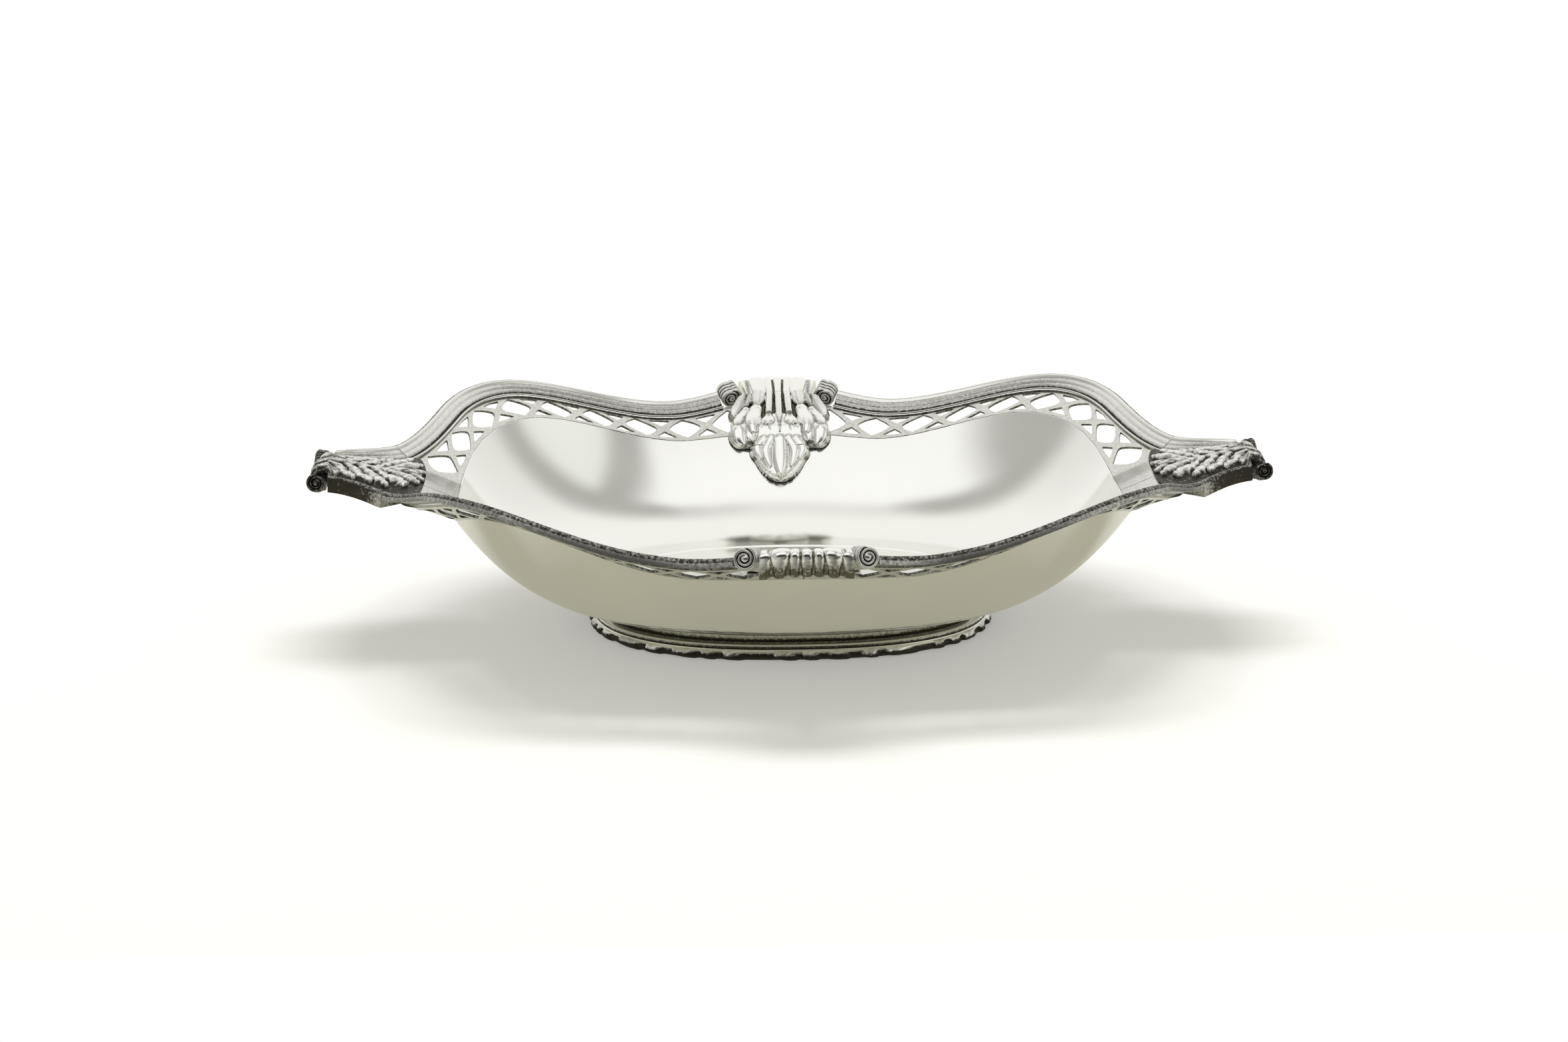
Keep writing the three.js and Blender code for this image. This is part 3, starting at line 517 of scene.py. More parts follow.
SIDE_SCROLL_X = CARTOUCHE_HALF_WIDTH + 2 * SLOPING_SEAM + SIDE_SCROLL_RADIUS
BESIDE_MIDDLE = QUARTER - 0.01
SIDE_SCROLL_ANGLE = angle_where(SIDE_SCROLL_X, 0, CORNER_ANGLE, BESIDE_MIDDLE)
MOULDING_START_X = SIDE_SCROLL_X + SIDE_SCROLL_RADIUS * (1 - 0.75 * SCROLL_CLOSING) + SEAM
MOULDING_START_ANGLE = angle_where(MOULDING_START_X, 0, CORNER_ANGLE, BESIDE_MIDDLE)
MOULDING_END_ANGLE = angle_where(MOULDING_END_X, 0, SLIGHT_TURN, CORNER_ANGLE)
MOULDING_STEPS = 150

# The moulding's inner bands carry less painted shade beside the handles, inside its bead: from where
# to where the painted shade fades, what share of it is left, and how deep a groove keeps it all.
SHADE_EASES_FROM_TO = (112, 138)
SHADE_SHARE_LEFT = 0.42
SHADE_EASES_INSIDE = -3.3
SHADE_KEPT_FROM_DEPTH = 1.2


def bands_with_less_shade(section, share_left):
    """How dark the moulding's places are once its inner bands have lost some of their painted shade."""
    across, depth = section[:, 0], section[:, 2]
    worn_polish_and_less_shade = (across < SHADE_EASES_INSIDE) & (depth < SHADE_KEPT_FROM_DEPTH)
    return np.where(worn_polish_and_less_shade, depth * share_left, depth)


def make_mouldings():
    section = moulding_section()
    angles, _ = even_parameters(rim_point, MOULDING_START_ANGLE, MOULDING_END_ANGLE, MOULDING_STEPS)
    rim = frame_of(rim_point, angles)
    points = np.concatenate([from_rim(place, section[:, 0], section[:, 1]) for place in zip(*rim)])
    faces = capped_tube(MOULDING_STEPS, len(section))
    # Less painted shade on the inner bands towards the handles.
    share_left = lerp(1, SHADE_SHARE_LEFT, smoothstep(rim[0][:, 0], *SHADE_EASES_FROM_TO))
    shade_and_tarnish = np.concatenate([bands_with_less_shade(section, share) for share in share_left])
    for place, signs in quarters():
        make_piece(f"rim_reeds_{place}", points, faces, cast_silver, [f"rim_moulding_{place}"],
                   shade_and_tarnish, signs, sharp=50)


make_mouldings()


def cut_corners(line, rounds=2, share=0.25):
    """A polyline with its inner corners rounded. Its two end points stay."""
    for _ in range(rounds):
        a, b = line[:-1], line[1:]
        cut = np.stack([lerp(a, b, share), lerp(a, b, 1 - share)], 1).reshape(-1, 2)
        line = np.concatenate([line[:1], cut[1:-1], line[-1:]])
    return line


def divided(line, longest=0.8):
    """A polyline with points added where its parts are longer than they may be."""
    out = [line[0]]
    for a, b in zip(line[:-1], line[1:]):
        count = max(1, math.ceil(np.linalg.norm(b - a) / longest))
        out += [lerp(a, b, k / count) for k in range(1, count + 1)]
    return np.array(out)


def stepped_back(line, distance, mirror_x):
    """A hole's edge, moved into the metal. At both ends it goes on as its mirror image."""
    before, after = line[1].copy(), line[-2].copy()
    for beyond in (before, after):
        beyond[0] = 2 * mirror_x - beyond[0]
    whole = np.concatenate([[before], line, [after]])
    a, b = unit(whole[1:-1] - whole[:-2]), unit(whole[2:] - whole[1:-1])
    normal_a, normal_b = vec(a[:, 1], -a[:, 0]), vec(b[:, 1], -b[:, 0])
    middle = unit(normal_a + normal_b)
    reach = np.minimum(2, 1 / np.maximum(0.3, np.sum(middle * normal_a, -1)))
    return line + middle * (distance * reach)[:, None]


# The trellis bars are rounded along their edges by this much, in this many steps, and carry a little
# painted shade in front.
BAR_ROUNDING = 0.4
ROUNDING_STEPS = 3
TRELLIS_SHADE = 0.36
PLAIN_COLUMNS = 24


def half_cell(pitch, height, crossing):
    """The outline of half a trellis cell on the flat sheet: hole edges, each with the x at which
    it meets its mirror image, and straight edges. x runs from a crossing of two bars to the
    middle of the next diamond."""
    middle, up = pitch / 2, height / 2
    apex = TRELLIS_BAR / 2 * math.hypot(1, height / pitch)
    tip = up - apex
    reach = middle - TRELLIS_BAR / 2 * math.hypot(1, pitch / height)
    full = 0.5 + SIDE_FULLNESS
    top = up - TRELLIS_RAIL
    half = (top - apex) * pitch / height
    diamond = [(middle, -tip), (middle - full * reach, -full * tip), (middle - reach, 0),
               (middle - full * reach, full * tip), (middle, tip)]
    upper = [(0, top), (half, top - TRIANGLE_SAG), (0, apex)]
    lower = [(x, -y) for x, y in upper[::-1]]

    def hole(line, mirror_x):
        return divided(cut_corners(np.array(line) + [0, up])), mirror_x

    top_edge, bottom_edge = [(middle, height), (0, height)], [(0, 0), (middle, 0)]
    if not crossing:
        return [hole(diamond, middle), top_edge, bottom_edge]
    return [hole(diamond, middle), top_edge, hole(upper, 0), hole(lower, 0), bottom_edge]


def gallery_cell(pitch, height, crossing):
    """Points and faces of a half cell: flat faces front and back, and rounded hole edges.
    Each point is across, up, and through the sheet from -1 to 1."""
    points, faces = [], []

    def add(line, through):
        start = len(points)
        points.extend((x, y, through) for x, y in line)
        return list(range(start, start + len(line)))

    outlines = {1: [], -1: []}
    for part in half_cell(pitch, height, crossing):
        if not isinstance(part, tuple):
            straight = divided(np.array(part), 1.2)
            front, back = add(straight, 1), add(straight, -1)
            outlines[1] += front
            outlines[-1] += back
            faces.extend((front[j], front[j + 1], back[j + 1], back[j]) for j in range(len(straight) - 1))
            continue
        line, mirror_x = part
        rows = []
        thickness = GALLERY_SHEET / 2
        for k in range(ROUNDING_STEPS + 1):
            turn = QUARTER * k / ROUNDING_STEPS
            back = BAR_ROUNDING * (1 - math.sin(turn))
            through = 1 - BAR_ROUNDING * (1 - math.cos(turn)) / thickness
            rows.append((stepped_back(line, back, mirror_x), through))
        rings = [add(moved, through) for moved, through in rows]
        rings += [add(moved, -through) for moved, through in rows[::-1]]
        for near, far in zip(rings[:-1], rings[1:]):
            for j in range(len(line) - 1):
                faces.append((near[j], near[j + 1], far[j + 1], far[j]))
        outlines[1] += rings[0]
        outlines[-1] += rings[-1]
    for through, outline in outlines.items():
        flat = [Vector((points[i][0], points[i][1], 0)) for i in outline]
        for a, b, c in tessellate_polygon([flat]):
            faces.append((outline[a], outline[b], outline[c]))
    return points, faces


def trellis_line(angle):
    return wall_point(angle, 1.5)


def make_galleries():
    """A quarter of the trellis, drawn flat cell by cell, bent to the dish and mirrored."""
    angles, length = even_parameters(trellis_line, QUARTER, 0, LINE_SAMPLES)
    height = math.hypot(SHOULDER_INSET - LIP_INSET, SHOULDER_DROP - LIP_DROP)
    pitch = (length - PLAIN_BESIDE_MIDDLE - PLAIN_BESIDE_END) / PIERCINGS
    points, faces = [], []

    def add(part_points, part_faces):
        start = len(points)
        points.extend(part_points)
        faces.extend(tuple(start + i for i in face) for face in part_faces)

    for i in range(2 * PIERCINGS):
        cell, cell_faces = gallery_cell(pitch, height, 0 < i < 2 * PIERCINGS - 1)
        way = -1 if i % 2 else 1
        start = PLAIN_BESIDE_MIDDLE + (i + i % 2) * pitch / 2
        cell = [(start + way * x, y, through) for x, y, through in cell]
        add(cell, [face[::way] for face in cell_faces])
    for low, high in [(SEAM / 2, PLAIN_BESIDE_MIDDLE), (length - PLAIN_BESIDE_END, length - SEAM / 2)]:
        ring = [(0, 1), (height, 1), (height, -1), (0, -1)]
        strip = [(x, y, through) for x in np.linspace(low, high, PLAIN_COLUMNS) for y, through in ring]
        outer_end = 0 if low < PLAIN_BESIDE_MIDDLE else 4 * (PLAIN_COLUMNS - 1)
        around = grid_faces(PLAIN_COLUMNS, 4, wrap_columns=True).tolist()
        add(strip, around + [[outer_end + k for k in range(4)]])
    flat = np.array(points)
    along = np.interp(flat[:, 0] / length, np.linspace(0, 1, len(angles)), angles)
    level = 1 + lerp(SEAM / 2 / height, 1, flat[:, 1] / height)
    bent = on_wall(along, level, flat[:, 2] * GALLERY_SHEET / 2)
    # Painted shade: a little on the bars' faces, and full on the rounded hole walls.
    shade_and_tarnish = lerp(TRELLIS_SHADE, 1, smoothstep(np.abs(flat[:, 2]), 1, 0.8))
    for place, signs in quarters():
        make_sheet(f"trellis_{place}", bent, faces, raised_silver, [f"gallery_{place}"],
                   shade_and_tarnish, signs)


def make_sheet(name, points, faces, material, nodes, shade_and_tarnish, signs):
    """A piece from loose parts: near points are joined and faces turned out."""
    build = bmesh.new()
    layer = build.verts.layers.float.new("shade_and_tarnish")
    corners = []
    for point, deep in zip(points * [signs[0] * MM, signs[1] * MM, MM], shade_and_tarnish):
        corners.append(build.verts.new(point))
        corners[-1][layer] = deep
    for face in faces:
        build.faces.new([corners[i] for i in face])
    bmesh.ops.remove_doubles(build, verts=build.verts, dist=0.01 * MM)
    bmesh.ops.dissolve_degenerate(build, edges=build.edges, dist=0.005 * MM)
    bmesh.ops.recalc_face_normals(build, faces=build.faces)
    mesh = bpy.data.meshes.new(name)
    build.to_mesh(mesh)
    build.free()
    finish_piece(name, mesh, material, nodes, 50)


make_galleries()


# A scroll rolls up in turns; its end faces show the roll's edge as a groove round a plain eye.
ROLL_STEPS = 72
ROLL_WIDTH_STEPS = 36
END_FACE_STEPS = 30
EYE_SHARE = 0.24
EYE_RISE = 0.55
EDGE_ROUNDING = 0.45
END_GROOVE_DEPTH = 0.75
END_GROOVE_HALF_WIDTH = 0.17
ROLL_GROOVES = [-2.3, -4.4, -6.4]
ROLL_GROOVE_DEPTH = 0.42
ROLL_GROOVE_HALF_WIDTH = 0.32
SCROLL_FEATHER = 0.1
# The visible rolls are a little larger or smaller than the solid ones, and darkened with painted shade.
SIDE_VOLUTE_RADIUS = SIDE_SCROLL_RADIUS * 1.06
SIDE_VOLUTE_LIFT = SIDE_SCROLL_LIFT + 0.4
SIDE_VOLUTE_SHADE = 0.3
HANDLE_VOLUTE_RADIUS = HANDLE_SCROLL_RADIUS - 0.1
HANDLE_VOLUTE_SHADE = 1.15


def scroll_frame(rim, radius, lift):
    """Middle of a scroll, the way ahead, the way up and the way across it."""
    point, outward, along = rim
    across = unit(outward * MOULDING_WIDTH + [0, 0, MOULDING_DROP * 0.6])
    up = np.cross(along, across)
    up = -up if up[2] < 0 else up
    return point + [0, 0, lift - radius], along, up, across


def make_scrolls(name, node_name, rim, radius, lift, shade):
    """Rolled ends; the shade darkens a whole scroll with painted shade."""
    centre, ahead, up, across = scroll_frame(rim, radius, lift)
    share = np.linspace(0, 1, ROLL_STEPS)
    turn = QUARTER - share * 2 * PI
    outline = radius * (1 - SCROLL_CLOSING * np.maximum(share, smoothstep(share, SCROLL_FEATHER, 0)))
    rings, shade_and_tarnish = [], []

    def add_ring(reach, offset, depth):
        flat = ahead * (np.cos(turn) * reach)[:, None] + up * (np.sin(turn) * reach)[:, None]
        rings.append(centre + flat + across * np.broadcast_to(offset, turn.shape)[:, None])
        shade_and_tarnish.append(np.broadcast_to(depth, turn.shape))

    def end_face(fraction):
        """Height of an end face and how deep it lies, where the roll's turns show; its depth is painted
        shade and tarnish in the groove.
        """
        reach = outline * fraction
        phase = (1 - reach / radius) / SCROLL_CLOSING - share
        off = np.abs(phase - np.round(phase))
        groove = np.exp(-(off / END_GROOVE_HALF_WIDTH) ** 2) * (phase > 0.5) * (fraction > EYE_SHARE)
        eye = EYE_RISE * math.cos(min(1, fraction / 0.3) * QUARTER)
        edge = -EDGE_ROUNDING * smoothstep(fraction, 0.88, 1) ** 2
        return 0.2 + eye + edge - END_GROOVE_DEPTH * groove, 1.1 * groove

    fractions = [0.03, 0.1, 0.17] + list(np.linspace(EYE_SHARE, 0.98, END_FACE_STEPS))
    for fraction in fractions:
        height, depth = end_face(fraction)
        add_ring(outline * fraction, -SCROLL_WIDTH - height, depth)
    for offset in np.linspace(-SCROLL_WIDTH + 0.3, -0.3, ROLL_WIDTH_STEPS):
        groove = max(math.exp(-((offset - place) / ROLL_GROOVE_HALF_WIDTH) ** 2) for place in ROLL_GROOVES)
        # Painted shade and tarnish in the roll's grooves.
        add_ring(outline - ROLL_GROOVE_DEPTH * groove, offset, 1.3 * groove)
    for fraction in fractions[::-1]:
        height, depth = end_face(fraction)
        add_ring(outline * fraction, height, depth)
    faces = capped_tube(len(rings), ROLL_STEPS)
    points, shade_and_tarnish = np.concatenate(rings), np.concatenate(shade_and_tarnish) + shade
    for place, signs in quarters():
        make_piece(f"{name}_{place}", points, faces, cast_silver, [f"{node_name}_{place}"],
                   shade_and_tarnish, signs, sharp=50)


side_rim = frame_of(rim_point, SIDE_SCROLL_ANGLE)
make_scrolls("side_volute", "side_scroll", side_rim, SIDE_VOLUTE_RADIUS, SIDE_VOLUTE_LIFT, SIDE_VOLUTE_SHADE)
handle_start = rim_point(SLIGHT_TURN) + [HANDLE_SCROLL_RADIUS + SEAM, 0, 0]
handle_rim = (handle_start, np.array([0.0, 1, 0]), np.array([1.0, 0, 0]))
make_scrolls("handle_volute", "handle_scroll", handle_rim, HANDLE_VOLUTE_RADIUS, HANDLE_SCROLL_LIFT,
             HANDLE_VOLUTE_SHADE)


def smooth_curve(knots, count=40):
    """A smooth line through a few points, without loops where they lie unevenly."""
    knots = np.asarray(knots, float)
    padded = np.concatenate([[2 * knots[0] - knots[1]], knots, [2 * knots[-1] - knots[-2]]])
    gaps = np.maximum(np.sqrt(np.linalg.norm(np.diff(padded, axis=0), axis=1)), 1e-4)
    t = np.linspace(0, 1, count // (len(knots) - 1), endpoint=False)[:, None]
    out = []
    for i in range(1, len(padded) - 2):
        a, b, c, d = padded[i - 1:i + 3]
        before, here, after = gaps[i - 1:i + 2]
        leave = ((b - a) / before - (c - a) / (before + here) + (c - b) / here) * here
        arrive = ((c - b) / here - (d - b) / (here + after) + (d - c) / after) * here
        out.append(b + leave * t + (3 * (c - b) - 2 * leave - arrive) * t ** 2
                   + (2 * (b - c) + leave + arrive) * t ** 3)
    return np.concatenate(out + [knots[-1:]])


# How much a rippled lobe's width swells and shrinks, how wide a vein is, how far up the sides of
# two neighbours their crease is dark, how dark, how far the crease is rounded out, and how dark
# the ground between lobes is. The dark is painted shade, with tarnish in these hollows.
RIPPLE = 0.22
VEIN_HALF_WIDTH = 0.42
CREASE_REACH = 0.7
CREASE_DEPTH = 0.85
CREASE_FILL = 0.5
GROUND_DEPTH = 1.25


class Lobe:
    """A long domed lobe of a leaf along a curved spine. It may have a fine vein down its middle
    and a rippled edge. Root is its width's share at the start, tip is where along the spine it
    begins to narrow, and fullness is how flat its dome is."""

    def __init__(self, spine, half, rise, vein=0.0, root=0.7, ripples=0, tip=0.62, fullness=2.8):
        self.spine = smooth_curve(spine)
        self.half, self.rise, self.vein, self.root = half, rise, vein, root
        self.ripples, self.tip, self.fullness = ripples, tip, fullness

    def mirrored(self):
        twin = copy.copy(self)
        twin.spine = self.spine * [-1, 1]
        return twin

    def height(self, x, y):
        gap = np.hypot(x[..., None] - self.spine[:, 0], y[..., None] - self.spine[:, 1])
        nearest = gap.argmin(-1)
        distance = gap.min(-1)
        t = nearest / (len(self.spine) - 1)
        narrowing = np.clip((t - self.tip) / (1 - self.tip), 0, 1) ** 2.6
        width = self.half * np.sqrt(1 - narrowing)
        ripple = 1 + RIPPLE * np.cos(2 * PI * self.ripples * t)
        width *= lerp(self.root, 1, smoothstep(t, 0, 0.55)) * ripple
        inside = np.clip(1 - (distance / np.maximum(width, 1e-3)) ** self.fullness, 0, 1)
        dome = self.rise * np.sqrt(inside) * lerp(0.75, 1, smoothstep(t, 0, 0.7))
        vein = self.vein * np.exp(-(distance / VEIN_HALF_WIDTH) ** 2)
        return dome - vein * (inside > 0) * smoothstep(t, 0.02, 0.2)


def with_twins(lobes):
    return lobes + [lobe.mirrored() for lobe in lobes if np.abs(lobe.spine[:, 0]).max() > 0.01]


def relief_of(lobes, x, y, dark=0.1, bright=1.0):
    """Height of the highest lobe at each place, and how dark the place is between lobes, in painted
    shade and tarnish: darkest up to the dark height, and bright from the bright one but for the creases."""
    x, y = np.broadcast_arrays(x, y)
    heights = np.sort(np.stack([lobe.height(x, y) for lobe in lobes]), 0)
    height, second = heights[-1], heights[-2]
    crease = CREASE_DEPTH * (1 - smoothstep(height - second, 0, CREASE_REACH))
    depth = np.maximum(GROUND_DEPTH * (1 - smoothstep(height, dark, bright)), crease)
    blend = np.clip(1 - (height - second) / CREASE_FILL, 0, 1) * (second > 0)
    return height + CREASE_FILL * blend ** 2 / 4, depth


# Across and down from the rim's outer edge, over the inside of the dish.
CARTOUCHE_LOBES = with_twins([
    Lobe([(0, -9), (0, 14), (0, 32.5)], 1.55, 2.2, root=1),
    Lobe([(4.5, -9), (4.5, 12), (4.9, 29)], 1.6, 2.5, root=0.85),
    Lobe([(4.8, 24), (5.1, 31)], 2.9, 3.3, root=0.5, tip=0.4),
    Lobe([(9.8, -9), (9.8, 4), (10.1, 19)], 3.4, 3.2, root=0.5, fullness=2.2),
    Lobe([(15.6, -9), (17.2, 8), (20.6, 24)], 3.9, 3.0, root=0.5, tip=0.5, fullness=2.2),
    Lobe([(13.8, 1), (14.8, 9), (15.2, 17.5)], 2.3, 2.7, root=0.5),
    Lobe([(11, 20.5), (12, 25.5), (11.6, 32.5)], 3.6, 3.8, root=0.8, tip=0.4, fullness=2.3),
    Lobe([(16.4, 20), (17.6, 25), (17.6, 31)], 3.1, 3.2, root=0.8, tip=0.4, fullness=2.3),
    Lobe([(15.8, 26), (17.6, 31.5), (16, 37.6)], 3.4, 3.5, root=0.8, tip=0.3, fullness=2.1),
    Lobe([(10.8, 28.5), (12.8, 32), (12.8, 36)], 2.8, 3.2, root=0.8, tip=0.3, fullness=2.1),
    Lobe([(0, 34), (0, 54.2)], 12.6, 2.9, root=0.85, tip=-1.2, fullness=2),
    Lobe([(0, 36), (0, 45), (0, 53.2)], 3.9, 4.1, root=0.85, tip=0.1, fullness=2.1),
    Lobe([(3.8, 35), (6.3, 40.5), (4.6, 49)], 2.8, 3.8, root=0.8, tip=0.15, fullness=2.1),
    Lobe([(7, 35), (9.9, 39), (8.4, 44.8)], 2.6, 3.4, root=0.8, tip=0.15, fullness=2.1),
])
# Places down the cartouche and half its plain width there.
CARTOUCHE_OUTLINE = [
    [-9, 17], [-2, 16.6], [10.6, 16.3], [12, 20.5], [18, 23.6], [27, 24.6], [30, 22], [54.5, 22],
]
# Where the cartouche wraps the moulding: the place down it, and the back's and the front's
# distance outward and upward from the rim.
CARTOUCHE_OVER_RIM = [
    (-9, -1.6, -7.6, -0.2, -8.2), (-4.5, -1.6, -5.2, 0.2, -4), (-1, -2, -3.6, 0, -0.8),
    (2.2, -3, -3.4, -2, 0.2), (6, -5.5, -3.9, -5.5, -1.2), (10, -8.3, -4.9, -9.8, -3.6),
]
CARTOUCHE_COLUMNS = 110
CARTOUCHE_RIM_ROWS = 44
CARTOUCHE_WALL_ROWS = 120
# From and to which places it lies on the wall, and the share of its relief that it keeps where
# it wraps the moulding.
CARTOUCHE_WALL_FROM_TO = (11.6, 54.2)
OVER_RIM_RELIEF = 0.6
# How far the plate goes on beyond the outermost lobe, on the wall and more where it wraps the
# moulding, how thin its edge is, and how far out lobes are looked for.
EDGE_MARGIN = 0.2
MORE_MARGIN_OVER_RIM = 2
EDGE_PLATE_SHARE = 0.35
WIDEST_LOBE = 26


def cartouche_half_width(at):
    """Half the plain outline's width, drawn in between the lobes that reach the edge."""
    plain = np.interp(at, *np.array(CARTOUCHE_OUTLINE).T)
    x = np.linspace(0, WIDEST_LOBE, 10 * WIDEST_LOBE + 1)
    relief, _ = relief_of(CARTOUCHE_LOBES, x, at[:, None])
    reach = np.where(relief > 0.1, x, 0).max(1) + EDGE_MARGIN
    return np.minimum(plain, np.where(at < CARTOUCHE_PASSES_LIP, reach + MORE_MARGIN_OVER_RIM, reach))


def lofted_plate(backs, fronts):
    """Points and faces of a closed strip through rows of back and front points."""
    rows, columns = len(backs), len(backs[0])
    count = 2 * columns
    points = np.concatenate([np.concatenate([back, front[::-1]]) for back, front in zip(backs, fronts)])
    faces = grid_faces(rows, count, wrap_columns=True).tolist()
    for row in (0, rows - 1):
        for j in range(columns - 1):
            a, b = row * count + j, row * count + count - 1 - j
            faces.append((a, a + 1, b - 1, b) if row == 0 else (b, b - 1, a + 1, a))
    return points, faces


def make_cartouches():
    """A carved plate that starts on the moulding's outside, wraps it and runs down the inside of
    the wall. A row lies across it."""
    shares = np.linspace(-1, 1, CARTOUCHE_COLUMNS)
    table = np.array(CARTOUCHE_OVER_RIM)
    fine = smooth_curve(table, 10 * len(table))
    rim_at = np.linspace(fine[0, 0], fine[-1, 0], CARTOUCHE_RIM_ROWS)
    over = np.stack([np.interp(rim_at, fine[:, 0], fine[:, k]) for k in range(1, 5)], -1)
    backs, fronts, depths = [], [], []
    for at, width, (bu, bv, fu, fv) in zip(rim_at, cartouche_half_width(rim_at), over):
        x = shares * width
        rim = frame_of(rim_point, QUARTER - x / (RIM_LENGTH / 2))
        tilt = unit(np.array([fu - bu, fv - bv]))
        height, depth = relief_of(CARTOUCHE_LOBES, x, at)
        height = OVER_RIM_RELIEF * height
        backs.append(from_rim(rim, bu, bv))
        fronts.append(from_rim(rim, fu + tilt[0] * height, fv + tilt[1] * height))
        # Painted shade grows down the cartouche's outer face over the rim.
        depths.append(np.maximum(depth, 1.35 * smoothstep(at, -2.4, -8)))

    def down_the_wall(share):
        return wall_point(np.full_like(share, QUARTER), 2 * (1 - share))

    parameters, length = even_parameters(down_the_wall, 0, 1, LINE_SAMPLES)
    seat = max(SHEET, GALLERY_SHEET) / 2 + SLOPING_SEAM
    wall_at = np.linspace(*CARTOUCHE_WALL_FROM_TO, CARTOUCHE_WALL_ROWS)
    for at, width in zip(wall_at, cartouche_half_width(wall_at)):
        share = np.interp((at - CARTOUCHE_PASSES_LIP) / length, np.linspace(0, 1, LINE_SAMPLES), parameters)
        level = 2 * (1 - share)
        reach = wall_point(0, level)[0]
        x = shares * width
        height, depth = relief_of(CARTOUCHE_LOBES, x, at)
        edge = smoothstep(1 - np.abs(shares), 0, 0.05)
        end = smoothstep(wall_at[-1] - at, 0, 2)
        thinned = lerp(EDGE_PLATE_SHARE, 1, edge * end)
        angles = QUARTER - x / reach
        backs.append(on_wall(angles, level, seat))
        fronts.append(on_wall(angles, level, seat + CARTOUCHE_PLATE * thinned + height * edge))
        # Painted shade: heavier high on the wall, over the upper side lobes and along the plate's thin edge.
        darkness = lerp(1.2, 0.5, smoothstep(at, 24, 38)) * thinned
        beside = 0.3 * smoothstep(np.abs(x), 9, 15) * smoothstep(at, 24, 14)
        depths.append(np.maximum(darkness * depth + beside, 0.3 * (1 - edge)))
    points, faces = lofted_plate(backs, fronts)
    back_depth = np.full(CARTOUCHE_COLUMNS, 0.1)
    shade_and_tarnish = np.concatenate([np.concatenate([back_depth, depth[::-1]]) for depth in depths])
    for side, sy in SIDES:
        make_piece(f"shell_{side}", points, faces, shell_silver, [f"cartouche_{side}"],
                   shade_and_tarnish, signs=(1, sy), sharp=60)


make_cartouches()


# Across and out from the handle leaf's inner end: a midrib, rippled leaflets that curl towards
# the dish and flutes that run on over the rolled tip.
LEAF_LOBES = with_twins([
    Lobe([(0, 57), (0, 28), (0, 1)], 1.5, 1.9, vein=0.4, root=0.9),
    Lobe([(1.4, 8), (3.4, 4), (5.6, 0.6)], 1.9, 1.9, vein=0.3, ripples=2),
    Lobe([(2.2, 13.2), (7.2, 8), (12.4, 2.6)], 2.3, 2.2, vein=0.3, ripples=3),
    Lobe([(2.8, 18.8), (9.4, 13.6), (17.6, 6.8)], 2.5, 2.4, vein=0.3, ripples=4),
    Lobe([(2.8, 25), (9.6, 20.2), (17.6, 13.6)], 2.5, 2.4, vein=0.3, ripples=4),
    Lobe([(2.8, 31), (8.6, 26.8), (15.4, 20.6)], 2.3, 2.2, vein=0.3, ripples=3),
    Lobe([(2.8, 37), (7.8, 33.2), (13.6, 27.6)], 2.1, 2.0, vein=0.3, ripples=3),
    Lobe([(2.8, 42.5), (6.8, 39), (11.6, 34.2)], 1.9, 1.8, vein=0.3, ripples=2),
    Lobe([(3.2, 57), (3.4, 50), (4.4, 43)], 1.7, 1.6, vein=0.3),
    Lobe([(6.8, 57), (7, 50), (8.4, 43.6)], 1.7, 1.5, vein=0.3),
])
# Drilled eyes between the leaflets: where they lie, and how wide and deep they are.
LEAF_EYES = [
    (4.6, 7), (7.4, 12.4), (9.6, 17.6), (9.6, 24), (8.8, 30.4), (7.4, 36.6), (5.6, 42.4),
    (15.4, 11.4), (15.6, 18),
]
LEAF_EYE_REACH = (1.0, 1.7)
LEAF_EYE_DEPTH = 1.3
LEAF_FIELD_COLUMNS = 110
LEAF_ROWS = (52, 70, 40)
# The carving keeps this share of its height over the rolled tip, from and to these places.
LEAF_ROLL_RELIEF = 0.12
LEAF_ROLL_FROM_TO = (41.5, 48.5)
# The moulding's reeds run on along the leaf's edges. They shrink to this share towards the tip,
# over a solid edge this deep.
LEAF_TIP_BAND = 0.6
LEAF_EDGE_DEPTH = 6.4
# How wide the reeds' band is where it is squeezed into the leaf's edge.
LEAF_SQUEEZED_BAND = 0.7
# From and to where the leaf's sides grow dark with painted shade towards its tip, and how far in they reach.
LEAF_SIDE_DARKENS = (157, 171)
LEAF_OUTER_FACE = -0.78
# The gap between the moulding's end and the leaf, and the points of the moulding's section that
# the leaf's bands leave out.
LEAF_JOINT = 0.15
MOULDING_UNDERSIDE_POINTS = 3


def leaf_relief(y, arc):
    """Height and depth of the leaf's carving, uneven as if worked by hand. The depth is painted shade
    and tarnish in the creases and eyes, painted shade in uneven patches, and painted shade growing
    towards the rolled tip.
    """
    height, depth = relief_of(LEAF_LOBES, y, arc, 0.6, 1.9)
    eyes = np.zeros_like(y)
    for across, out in LEAF_EYES:
        gap = ((np.abs(y) - across) / LEAF_EYE_REACH[0]) ** 2 + ((arc - out) / LEAF_EYE_REACH[1]) ** 2
        eyes = np.maximum(eyes, np.exp(-gap))
    across_wave = np.sin(1.7 * y + 0.6 * np.sin(0.9 * arc))
    uneven = 0.5 + 0.5 * across_wave * np.sin(1.3 * arc + 1.1 * np.cos(0.8 * y))
    depth = np.maximum(depth + 0.55 * uneven ** 2, 1.6 * eyes) + 0.6 * smoothstep(arc, 44, 53)
    return np.maximum(height * lerp(0.82, 1, uneven) - LEAF_EYE_DEPTH * eyes, 0), depth


